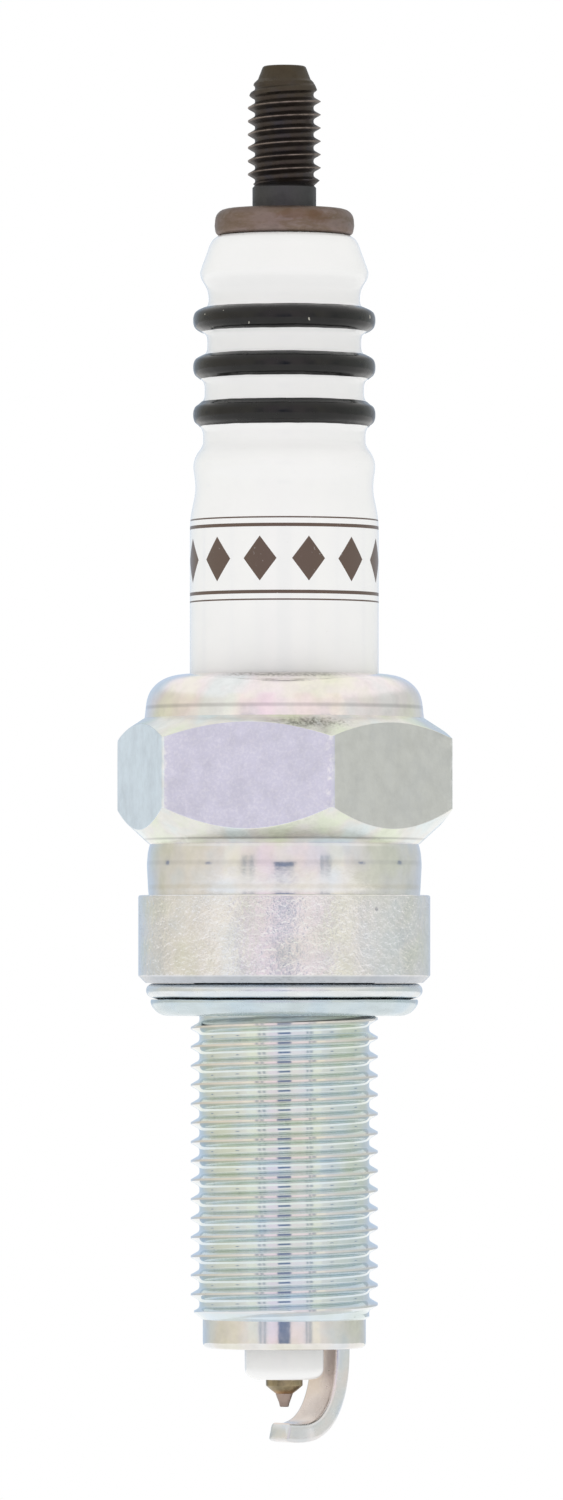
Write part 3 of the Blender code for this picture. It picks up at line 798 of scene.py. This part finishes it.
def insulator_outline():
    crown = flowing([(radius, INSULATOR_TOP - drop) for radius, drop in (
        (3.50, 0.0), (3.74, 0.17), (3.93, 0.48), (4.06, 0.85), (4.22, 1.28), (4.37, 1.70),
        (4.43, 1.97), (4.36, 2.27), (4.19, 2.56), (4.06, 2.82), (4.00, 3.08),
    )])
    outline = [(BORE_R, INSULATOR_TOP)] + crown
    for index in range(len(RIBS)):
        outline += rib_outline(index)
    outline += flowing([
        (4.28, 30.12), (4.38, 29.88), (4.62, 29.52), (4.76, 29.15), (4.78, 28.80), (4.71, 28.25),
        (4.68, 27.80), (4.72, 27.35), (4.82, 26.85), (4.91, 26.35), (4.955, 25.95), (TRUNK_R, 25.50),
    ])
    outline += [(TRUNK_R, height) for height in (24.0, 22.0, 20.0, 18.5, 17.5, 12.5)]
    nose = rounded([
        (5.3, 11.95), (BELLY_R, 11.6, 0.1), (BELLY_R, 8.0, 0.2), (LEG_R, 8.0 - (BELLY_R - LEG_R)),
        (LEG_R, -7.0), (2.62, -7.93), (2.40, -13.0), (NOSE_R + 0.02, -17.0),
        (NOSE_R, INSULATOR_BOTTOM, 0.58), (ELECTRODE_BORE_R + 0.02, INSULATOR_BOTTOM, 0.06),
        (ELECTRODE_BORE_R, INSULATOR_BOTTOM + 0.5), (ELECTRODE_BORE_R, ELECTRODE_SEAT - 0.5),
        (BORE_R, ELECTRODE_SEAT), (BORE_R, INSULATOR_TOP),
    ], segments=8)
    return outline + nose


def insulator():
    sheet = turned(insulator_outline(), even_columns(128))
    piece(
        "insulator_body", [(sheet, 0)], [porcelain()], PLUG_BODY, ["insulator"],
    )


def rib_bands():
    """The black glaze on each rib: a thin skin over it, from its upper fillet to under its lower round."""
    columns = even_columns(192)
    glaze = black_glaze()
    for index, place in enumerate(RIBS):
        line = np.array(rib_outline(index))
        above = RIB_NECKS[index]
        below = RIB_NECKS[index + 1]
        middle = line[:, 1].mean()
        shoulder = RIB_R - GLAZE - RIB_SHOULDER
        upper = (line[:, 1] > middle) & (line[:, 0] > (shoulder + above) / 2.0)
        lower = (line[:, 1] <= middle) & (line[:, 0] > (2.0 * shoulder + below) / 3.0)
        skin = line[upper | lower]
        along = np.gradient(skin, axis=0)
        along /= np.linalg.norm(along, axis=1)[:, None]
        out = np.stack([-along[:, 1], along[:, 0]], axis=1)
        thick = GLAZE * np.sin(np.linspace(0.25, math.pi - 0.25, len(skin))) ** 0.35
        outside = skin + out * thick[:, None]
        inside = (skin - out * 0.06)[::-1]
        outline = np.concatenate([outside, inside, outside[:1]])
        sheet = turned(outline, columns)
        uneven = ripple(columns[None, :], sheet[:, :, 2] * 0.3, 5.0 + 3.0 * index)
        ends = np.clip(np.abs(sheet[:, :, 2] - middle) / 0.3 - 1.0, 0.0, 1.0)
        sheet[:, :, 2] += uneven * 0.018 * ends
        piece(
            "glaze_band_" + place, [(sheet, 0)], [glaze], PLUG_BODY,
            ["rib_band_" + place],
        )


# ---------------------------------------------------------------- shell

def shell_columns():
    """Angles round the shell, one set for each side of the hexagon, closer at its corners."""
    near = np.array([0.0, 0.3, 0.6, 0.9])
    side = np.concatenate([near, np.linspace(0.9, 59.1, 23)[1:-1], 60.0 - near[:0:-1]])
    angles = [HEX_CORNER_ANGLE + 60.0 * index + side for index in range(6)]
    angles.append(np.array([HEX_CORNER_ANGLE + 360.0]))
    return np.radians(np.concatenate(angles))


def off_corner(columns):
    """The angle from each column to the hexagon's nearest corner."""
    sixth = math.radians(60.0)
    off = (columns - math.radians(HEX_CORNER_ANGLE)) % sixth
    return np.minimum(off, sixth - off)


def hexagon_radius(columns):
    """Distance from the axis to the hexagon's side at each angle, with rounded corners."""
    apothem = HEX_ACROSS_FLATS / 2.0
    off = off_corner(columns)
    flat = apothem / np.cos(math.radians(30.0) - off)
    centre = (apothem - HEX_CORNER_ROUND) / math.cos(math.radians(30.0))
    inside = np.maximum(HEX_CORNER_ROUND ** 2 - (centre * np.sin(off)) ** 2, 0.0)
    curve = centre * np.cos(off) + np.sqrt(inside)
    touch_x = centre + HEX_CORNER_ROUND * math.cos(math.radians(30.0))
    touch_y = HEX_CORNER_ROUND * math.sin(math.radians(30.0))
    return np.where(off < math.atan2(touch_y, touch_x), curve, flat)


def hexagon(columns):
    """Three sheets: the upper chamfer, the flats and the lower chamfer."""
    sides = hexagon_radius(columns)
    lines = []
    for radius in sides:
        high = HEX_TOP - (radius - DOME_R) * HEX_UPPER_SLOPE
        low = HEX_BOTTOM + (radius - NECK_R) * HEX_LOWER_SLOPE
        middle = [(radius, low + (high - low) * part) for part in (0.75, 0.5, 0.25)]
        upper = [(DOME_R + (radius - DOME_R) * part, HEX_TOP + (high - HEX_TOP) * part)
                 for part in (0.0, 0.25, 0.5, 0.75)]
        lower = [(NECK_R + (radius - NECK_R) * part, HEX_BOTTOM + (low - HEX_BOTTOM) * part)
                 for part in (0.75, 0.5, 0.25, 0.0)]
        lines.append(rounded(
            upper + [(radius, high, HEX_EDGE_ROUND)] + middle + [(radius, low, HEX_EDGE_ROUND)] + lower,
            segments=4,
        ))
    lines = np.array(lines)
    sheet = np.stack([
        lines[:, :, 0] * np.cos(columns)[:, None], lines[:, :, 0] * np.sin(columns)[:, None],
        lines[:, :, 1],
    ], axis=2).transpose(1, 0, 2)
    first = 4 + 3                     # the row in the middle of the upper rounded edge
    last = sheet.shape[0] - 4 - 4
    corner = np.clip(1.0 - off_corner(columns) / math.radians(1.2), 0.0, 1.0)[None, :]
    knocks = np.clip(ripple(columns[None, :] * 5.0, sheet[:, :, 2] * 2.3, 8.0) - 0.25, 0.0, 1.0)
    shrink = 1.0 - corner * knocks * 0.07 / sides[None, :]
    sheet[:, :, :2] *= shrink[:, :, None]
    return sheet[:first + 1], sheet[first:last + 1], sheet[last:]


def metal_shell():
    columns = shell_columns()
    upper, flats, lower = hexagon(columns)
    dome = [(LIP_BORE_R, LIP_TOP - 0.55), (LIP_BORE_R, LIP_TOP - 0.10)] + flowing([
        (LIP_BORE_R + 0.04, LIP_TOP - 0.03), (LIP_BORE_R + 0.14, LIP_TOP), (5.55, LIP_TOP - 0.02),
        (6.00, LIP_TOP - 0.11), (6.45, LIP_TOP - 0.30), (6.82, LIP_TOP - 0.59), (7.09, LIP_TOP - 0.95),
        (7.23, LIP_TOP - 1.35), (7.28, LIP_TOP - 1.66), (DOME_R - 0.03, HEX_TOP + 0.27),
    ], 4) + [(DOME_R - 0.01, HEX_TOP + 0.12), (DOME_R, HEX_TOP)]
    neck = [(NECK_R, HEX_BOTTOM)] + rounded([
        (NECK_R - 0.08, HEX_BOTTOM - 0.05), (NECK_R - 0.03, HEX_BOTTOM - 0.20, 0.2),
        (NECK_R + 0.03, 8.55), (NECK_RIDGE_R + 0.008, NECK_RIDGE_Z, 3.0), (NECK_R + 0.012, 6.6),
        (NECK_R - 0.01, FLANGE_TOP + 0.06), (NECK_R - 0.01, FLANGE_TOP),
    ], segments=10)
    flange = rounded([
        (NECK_R - 0.01, FLANGE_TOP), (FLANGE_R, FLANGE_TOP, 0.10), (FLANGE_R, 5.0), (FLANGE_R, 3.6),
        (FLANGE_R, FLANGE_CHAMFER, 0.10), (SEAT_R, SEAT_Z, 0.05), (5.4, SEAT_Z),
        (RELIEF_R, SEAT_Z, 0.2), (RELIEF_R, THREAD_TOP),
    ], segments=5)

    def envelope(height):
        return np.minimum(
            RELIEF_R + np.maximum(THREAD_START_Z - height, 0.0) * THREAD_START_SLOPE,
            NOSE_END_R + (height - THREAD_END) * THREAD_END_SLOPE,
        )

    form = thread_form(THREAD_R, THREAD_PITCH, THREAD_ROOT_ROUND, 0.10, 0.12)
    thread = threaded(
        columns, form, THREAD_PITCH, THREAD_CREST_Z, THREAD_TOP, THREAD_END, envelope,
    )
    nose = rounded([
        (NOSE_END_R, THREAD_END), (NOSE_END_R, THREAD_END - 0.1), (NOSE_END_R, -16.8),
        (NOSE_END_R, SHELL_BOTTOM, 0.30), (MOUTH_R, SHELL_BOTTOM, 0.12), (MOUTH_R, -15.0),
        (MOUTH_R, LEDGE_TOP - 2.3), (LEDGE_R, LEDGE_TOP - 2.0), (LEDGE_R, LEDGE_TOP),
        (SHANK_BORE_R, LEDGE_TOP + SHANK_BORE_R - LEDGE_R), (SHANK_BORE_R, 4.4),
        (PACKING_BORE_R, 4.4 + PACKING_BORE_R - SHANK_BORE_R), (PACKING_BORE_R, LIP_TOP - 1.0),
        (LIP_BORE_R, LIP_TOP - 0.6), (LIP_BORE_R, LIP_TOP - 0.55),
    ], segments=6)
    looks = [
        dome_plating(), chamfer_plating(), flat_plating(), neck_plating(), flange_plating(),
        thread_plating(), nose_plating(),
    ]
    piece(
        "shell", [
            (turned(dome, columns), 0), (upper, 1), (flats, 2), (lower, 1), (turned(neck, columns), 3),
            (turned(flange, columns), 4), (thread, 5), (turned(nose, columns), 6),
        ], looks, PLUG_BODY, ["metal_shell"],
    )


# ---------------------------------------------------------------- gasket

def ribbon(centre_line, thickness):
    """Closed outline of a sheet along a centre line, its two ends slightly rounded."""
    line = np.array(centre_line, float)
    along = np.gradient(line, axis=0)
    along /= np.linalg.norm(along, axis=1)[:, None]
    half = np.full(len(line), thickness / 2.0)
    half[[0, -1]] *= 0.62
    half[[1, -2]] *= 0.90
    across = np.stack([-along[:, 1], along[:, 0]], axis=1) * half[:, None]
    left = line + across
    right = (line - across)[::-1]
    return [tuple(point) for point in np.concatenate([left, right, left[:1]])]


def gasket():
    """Steel sheet folded into two closed rolls, the lower one open at its outer lip."""
    half = GASKET_SHEET / 2.0
    high = GASKET_TOP + 0.02 - half
    bend = 0.23
    fold = (GASKET_R - half - bend, high - bend)
    line = [(GASKET_BORE_R + 0.02, high), (GASKET_BORE_R + 0.05, high), (GASKET_BORE_R + 0.10, high),
            (5.2, high), (6.2, high), (6.7, high)]
    line += arc(fold, bend, 90.0, -75.0, 12)
    leg_z = line[-1][1]
    inner = 0.325
    line += [(6.72, leg_z - 0.065), (6.45, leg_z - 0.14), (6.15, leg_z - 0.21), (5.8, leg_z - 0.26),
             (5.5, half + 2.0 * inner)]
    line += arc((GASKET_BORE_R + half + inner, half + inner), inner, 90.0, 270.0, 14)
    line += flowing([
        (5.5, half), (5.95, half), (6.25, half + 0.01), (6.54, 0.27), (6.75, 0.465), (6.865, 0.645),
        (6.885, 0.76),
    ], 4)
    line += [(6.885, 0.82), (6.885, 0.852)]
    columns = even_columns(192)
    sheet = turned(ribbon(line, GASKET_SHEET), columns)
    radius = np.hypot(sheet[:, :, 0], sheet[:, :, 1])
    rim = np.clip((radius - 6.4) / 0.5, 0.0, 1.0) * np.clip((sheet[:, :, 2] - 0.1) / 0.3, 0.0, 1.0)
    rim *= np.clip((GASKET_TOP - sheet[:, :, 2]) / 0.2, 0.0, 1.0)
    sheet[:, :, 2] += ripple(columns[None, :], 0.0, 3.0) * 0.012 * rim
    piece("crush_gasket", [(sheet, 0)], [gasket_steel()], GASKET_BODY, ["gasket"])


# ---------------------------------------------------------------- electrodes

def center_electrode():
    columns = even_columns(96)
    head_top = top("center_electrode")
    outline = rounded([
        (CORE_BORE_R, head_top), (ELECTRODE_HEAD_R, head_top), (ELECTRODE_HEAD_R, ELECTRODE_SEAT + 0.05),
        (ELECTRODE_R, ELECTRODE_SEAT - 0.45), (ELECTRODE_R, -18.5),
        (ELECTRODE_R, ELECTRODE_END + 0.42, 0.05), (0.70, ELECTRODE_END + 0.19, 0.25),
        (0.45, ELECTRODE_END, 0.02), (0.0, ELECTRODE_END),
    ])
    hollow = [(0.0, CORE_BORE_END), (CORE_BORE_R, CORE_BORE_END), (CORE_BORE_R, head_top)]
    piece(
        "electrode_wire", [(turned(outline, columns), 0), (turned(hollow, columns), 0)], [electrode_nickel()],
        PLUG_BODY, ["center_electrode"],
    )
    start = ELECTRODE_END + 0.02
    tip = [(0.0, start), (0.40, start), (0.445, start - 0.02)] + flowing([
        (0.445, start - 0.06), (0.415, start - 0.14), (0.37, start - 0.26), (0.325, start - 0.38),
        (0.285, start - 0.49), (0.26, start - 0.58), (0.248, TIP_END + 0.07),
    ], 4) + [(0.24, TIP_END + 0.03), (0.205, TIP_END), (0.0, TIP_END)]
    sheet = turned(tip, columns)
    weld = np.clip((sheet[:, :, 2] - (TIP_END + 0.22)) / 0.1, 0.0, 1.0)
    weld *= np.clip((start - sheet[:, :, 2]) / 0.05, 0.0, 1.0)
    sheet[:, :, :2] *= (1.0 + ripple(columns[None, :], sheet[:, :, 2] * 6.0, 4.0) * 0.03 * weld)[:, :, None]
    iridium = nickel("iridium_wire", (0.36, 0.28, 0.24), (0.22, 0.17, 0.15), 0.36, 0.01)
    piece("iridium_point", [(sheet, 0)], [iridium], PLUG_BODY, ["iridium_tip"])


def strap_path():
    """Stations down the strap: (radius, height) of its middle, and its inward normal."""
    half = STRAP_THICKNESS / 2.0
    root = SHELL_BOTTOM + 0.03
    level = STRAP_BOTTOM + half
    across = STRAP_ROOT_R - STRAP_FOOT_R
    places = []
    for angle in np.radians(np.linspace(0.0, 90.0, 41)):
        radius = STRAP_FOOT_R + across * max(math.cos(angle), 0.0) ** (2.0 / STRAP_CURVE)
        places.append((radius, root - (root - level) * math.sin(angle) ** (2.0 / STRAP_CURVE)))
    lift = 0.10
    for part in (0.25, 0.5, 0.75, 0.93, 1.0):
        radius = STRAP_FOOT_R + (STRAP_END - STRAP_FOOT_R) * part
        places.append((radius, level + lift * part * part))
    places = np.array(places)
    keep = [0] + [n for n in range(1, len(places)) if np.hypot(*(places[n] - places[n - 1])) > 0.02]
    places = places[keep]
    along = np.gradient(places, axis=0)
    along[0] = (0.0, -1.0)
    along /= np.linalg.norm(along, axis=1)[:, None]
    return [(tuple(place), (step[1], -step[0])) for place, step in zip(places, along)]


def ground_electrode():
    half_t = STRAP_THICKNESS / 2.0
    taper_start = STRAP_END + STRAP_TAPER
    away = np.array([math.cos(math.radians(STRAP_ANGLE)), math.sin(math.radians(STRAP_ANGLE))])
    aside = np.array([-away[1], away[0]])
    rows = []
    stations = strap_path()
    for number, (place, normal) in enumerate(stations):
        half_w = STRAP_WIDTH / 2.0
        if place[0] < taper_start:
            part = (taper_start - place[0]) / STRAP_TAPER
            half_w -= (STRAP_WIDTH - STRAP_END_WIDTH) / 2.0 * part
        shrink = {len(stations) - 1: 0.07, len(stations) - 2: 0.012}.get(number, 0.0)
        section = rounded([
            (half_w - shrink, half_t - shrink, 0.22), (-half_w + shrink, half_t - shrink, 0.22),
            (-half_w + shrink, -half_t + shrink, 0.17), (half_w - shrink, -half_t + shrink, 0.17),
        ], segments=5, closed=True)
        section.append(section[0])
        row = []
        for side, lift in section:
            radius = place[0] + normal[0] * lift
            flat = away * radius + aside * side
            row.append((flat[0], flat[1], place[1] + normal[1] * lift))
        rows.append(row)
    rows = np.array(rows)
    piece(
        "ground_strap", [(rows, 0), (weld_bead(away, aside), 0)], [strap_alloy()], PLUG_BODY,
        ["ground_electrode"],
    )


def weld_bead(away, aside):
    """The lumpy bead where the strap's root is fused to the shell's end."""
    around = even_columns(72)
    tube = even_columns(12)
    middle = STRAP_ROOT_R
    half_w = STRAP_WIDTH / 2.0 - 0.05
    half_t = STRAP_THICKNESS / 2.0 - 0.05
    squared = np.power(np.abs(np.cos(around)) ** 6 + np.abs(np.sin(around)) ** 6, -1.0 / 6.0)
    side = np.cos(around) * squared * half_w
    out = np.sin(around) * squared * half_t
    size = 0.085 + 0.03 * ripple(around, 0.0, 6.0)
    reach_out = size[:, None] * np.cos(tube)[None, :]
    rise = size[:, None] * np.sin(tube)[None, :] * 0.9
    length = np.hypot(side, out)[:, None]
    side = side[:, None] * (1.0 + reach_out / length)
    out = out[:, None] * (1.0 + reach_out / length) + middle
    flat = out[:, :, None] * away + side[:, :, None] * aside
    height = SHELL_BOTTOM - 0.02 + rise
    return np.concatenate([flat, height[:, :, None]], axis=2)


# ---------------------------------------------------------------- the nodes kept from the CAD

def keep_inner_nodes():
    """The hidden pieces keep their CAD shape and get a finished material each."""
    steel = plain_inner("packing_steel", (0.5, 0.5, 0.5), (0.32, 0.32, 0.33), 0.35, 1.0, 3.0)
    glass = plain_inner("seal_glass", (0.14, 0.12, 0.11), (0.05, 0.05, 0.05), 0.3, 0.0, 4.0)
    carbon = plain_inner("resistor_mix", (0.06, 0.06, 0.07), (0.02, 0.02, 0.02), 0.5, 0.0, 6.0)
    copper = plain_inner("core_copper", (0.78, 0.40, 0.26), (0.60, 0.28, 0.18), 0.3, 1.0, 3.0)
    powder = plain_inner("talc_powder", (0.82, 0.81, 0.78), (0.68, 0.67, 0.63), 0.8, 0.0, 8.0)
    chosen = {
        "upper_packing_ring": steel, "lower_packing_ring": steel, "plate_packing": steel,
        "upper_glass_seal": glass, "lower_glass_seal": glass, "resistor": carbon,
        "center_electrode_core": copper, "talc_packing": powder,
    }
    for name, look in chosen.items():
        mesh_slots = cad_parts[name].material_slots
        for slot in mesh_slots:
            slot.material = look


# ---------------------------------------------------------------- studio

FLOOR_Z = -350.0
CAMERA_DISTANCE = 560.0
CAMERA_HEIGHT = 1.6
VIEW_HEIGHT = 78.95        # mm of the plug's plane that the frame's height takes in
VIEW_MIDDLE = (-0.147, 13.98)
WHITE = (1.0, 1.0, 1.0)
COOL = (0.92, 0.97, 1.0)
WARM = (1.0, 0.985, 0.94)
PANEL_RISE = (-30.0, 30.0)  # degrees of elevation that the tent's tinted panels cover
GAP = (0.21, 0.27, 0.42)   # the gap in the tent for the camera
SEAM = (0.50, 0.53, 0.58)
# Azimuths in degrees from the camera.
SEAMS = (-34.0, -27.5, 31.5, 37.5)
SMALL_SEAMS = (-116.0, -67.0, 68.0, 114.0)
CREAM_STRIPS = ((-52.0, -39.0), (40.0, 51.0))
# What the tent looks like in the plug's metal: (degrees from the camera, colour as seen).
MIRRORED = (
    (-180, (184, 200, 220)), (-150, (190, 201, 212)), (-128, (204, 203, 194)), (-100, (216, 212, 200)),
    (-72, (224, 219, 208)), (-50, (229, 223, 217)), (-22, (232, 223, 227)), (0, (235, 229, 235)),
    (22, (234, 224, 229)), (50, (224, 220, 217)), (79, (209, 211, 206)), (105, (202, 206, 201)),
    (130, (198, 202, 198)), (155, (192, 198, 206)), (180, (184, 200, 220)),
)


class Tent(Nodes):
    """The world: a colour by direction, built from masks over azimuth and elevation in degrees."""

    def __init__(self, name):
        world = bpy.data.worlds.new(name)
        world.use_nodes = True
        bpy.context.scene.world = world
        self.tree = world.node_tree
        self.tree.nodes.clear()
        x, y, z = self.split(self.node("TexCoord", {}, "Generated"))
        self.azimuth = self.times(self.math("ARCTAN2", x, self.times(y, -1.0)), 180.0 / math.pi)
        self.elevation = self.times(self.math("ARCSINE", z), 180.0 / math.pi)

    def compass(self, *stops):
        """Colour by azimuth, from stops of (degrees, colour)."""
        turn = self.math("DIVIDE", self.minus(self.azimuth, -180.0), 360.0)
        return self.ramp(turn, *[((degrees + 180.0) / 360.0, colour) for degrees, colour in stops])

    def band(self, value, low, high, soft):
        """1 between low and high degrees, falling to 0 over soft degrees outside."""
        half = (high - low) / 2.0
        return self.span(self.distance(value, (low + high) / 2.0), half + soft, half, "SMOOTHSTEP")

    def patch(self, colour, azimuth, elevation, tone, soft=2.0, rise=2.0):
        """The colour with a patch of tone over ranges of azimuth and elevation."""
        mask = self.times(
            self.band(self.azimuth, *azimuth, soft), self.band(self.elevation, *elevation, rise),
        )
        return self.mix(mask, colour, tone)


def studio_world():
    """A tinted light tent, stronger in tint for glossy rays and plain white for the camera.

    Only glossy rays see the tent's colours as the plug mirrors them, the seams between its
    panels and the dark gap for the camera.
    """
    tent = Tent("tent")
    colour = tent.compass(
        (-180.0, WHITE), (-150.0, COOL), (-100.0, COOL), (-60.0, WARM), (0.0, WHITE), (60.0, WARM),
        (95.0, (0.90, 0.91, 0.90)), (130.0, (0.96, 0.94, 0.99)), (180.0, WHITE),
    )
    colour = tent.mix(tent.band(tent.elevation, 25.0, 90.0, 15.0), colour, (1.0, 0.99, 0.965))
    colour = tent.patch(colour, (-24.0, -9.0), PANEL_RISE, (1.0, 0.95, 0.98), 1.5, 15.0)
    plainer = tent.patch(colour, (9.0, 26.0), PANEL_RISE, (1.0, 0.97, 0.965), 1.5, 15.0)
    brightest = seen(*dict(MIRRORED)[0])[0]
    mirrored = tent.compass(*[
        (angle, tuple(value / brightest for value in seen(*tone))) for angle, tone in MIRRORED
    ])
    colour = tent.mix(tent.band(tent.elevation, -18.0, 18.0, 16.0), plainer, mirrored)
    colour = tent.patch(colour, (-21.0, -9.0), PANEL_RISE, (1.0, 0.88, 0.955), 1.5, 15.0)
    colour = tent.patch(colour, (9.0, 26.0), PANEL_RISE, (1.0, 0.91, 0.93), 1.5, 15.0)
    for strip in CREAM_STRIPS:
        colour = tent.patch(colour, strip, PANEL_RISE, (1.0, 0.97, 0.87), 2.0, 10.0)
    for middle in SEAMS:
        colour = tent.patch(colour, (middle - 1.4, middle + 1.4), (-10.0, 10.0), SEAM, 1.2, 4.0)
    for middle in SMALL_SEAMS:
        colour = tent.patch(colour, (middle - 2.0, middle + 2.0), (1.2, 4.5), GAP, 1.0, 0.6)
    colour = tent.patch(colour, (-8.0, 8.0), (-4.5, 4.5), GAP, 1.0, 1.0)
    light_path = tent.tree.nodes.new("ShaderNodeLightPath").outputs
    colour = tent.mix(light_path["Is Glossy Ray"], plainer, colour)
    shown = tent.mix(light_path["Is Camera Ray"], colour, WHITE)
    light = tent.node("Background", {"Color": shown})
    out = tent.tree.nodes.new("ShaderNodeOutputWorld")
    tent.feed(out.inputs[0], light)


def floor():
    """A plain pale floor, well below the plug, clear from underneath so low views still see it."""
    size = 3000.0 * MM
    mesh = bpy.data.meshes.new("floor")
    corners = [(-size, -size), (size, -size), (size, size), (-size, size)]
    mesh.from_pydata([(x, y, FLOOR_Z * MM) for x, y in corners], [], [(0, 1, 2, 3)])
    made = bpy.data.objects.new("floor", mesh)
    bpy.context.scene.collection.objects.link(made)
    look = Look("floor_white", 0.9)
    look.set("Base Color", (0.5, 0.5, 0.5))
    look.set("Emission Color", WHITE)
    look.set("Emission Strength", 0.55)
    below = look.node("NewGeometry", {}, "Backfacing")
    clear = look.node("BsdfTransparent", {})
    one_sided = look.node("MixShader", {0: below, 1: look.shader.outputs[0], 2: clear})
    look.feed(look.tree.nodes["Material Output"].inputs[0], one_sided)
    mesh.materials.append(look.material)


def camera():
    data = bpy.data.cameras.new("camera")
    made = bpy.data.objects.new("camera", data)
    bpy.context.scene.collection.objects.link(made)
    place = Vector((VIEW_MIDDLE[0], -CAMERA_DISTANCE, CAMERA_HEIGHT))
    aim = Vector((VIEW_MIDDLE[0], 0.0, VIEW_MIDDLE[1]))
    made.location = place * MM
    made.rotation_mode = "QUATERNION"
    made.rotation_quaternion = (aim - place).to_track_quat("-Z", "Y")
    data.sensor_width = 36.0
    data.lens = 36.0 * (aim - place).length / VIEW_HEIGHT
    data.clip_start = 0.01
    data.clip_end = 20.0
    bpy.context.scene.camera = made
    bpy.context.scene.view_settings.view_transform = "Standard"


camera()
studio_world()
floor()
terminal()
insulator()
rib_bands()
metal_shell()
gasket()
center_electrode()
ground_electrode()
keep_inner_nodes()
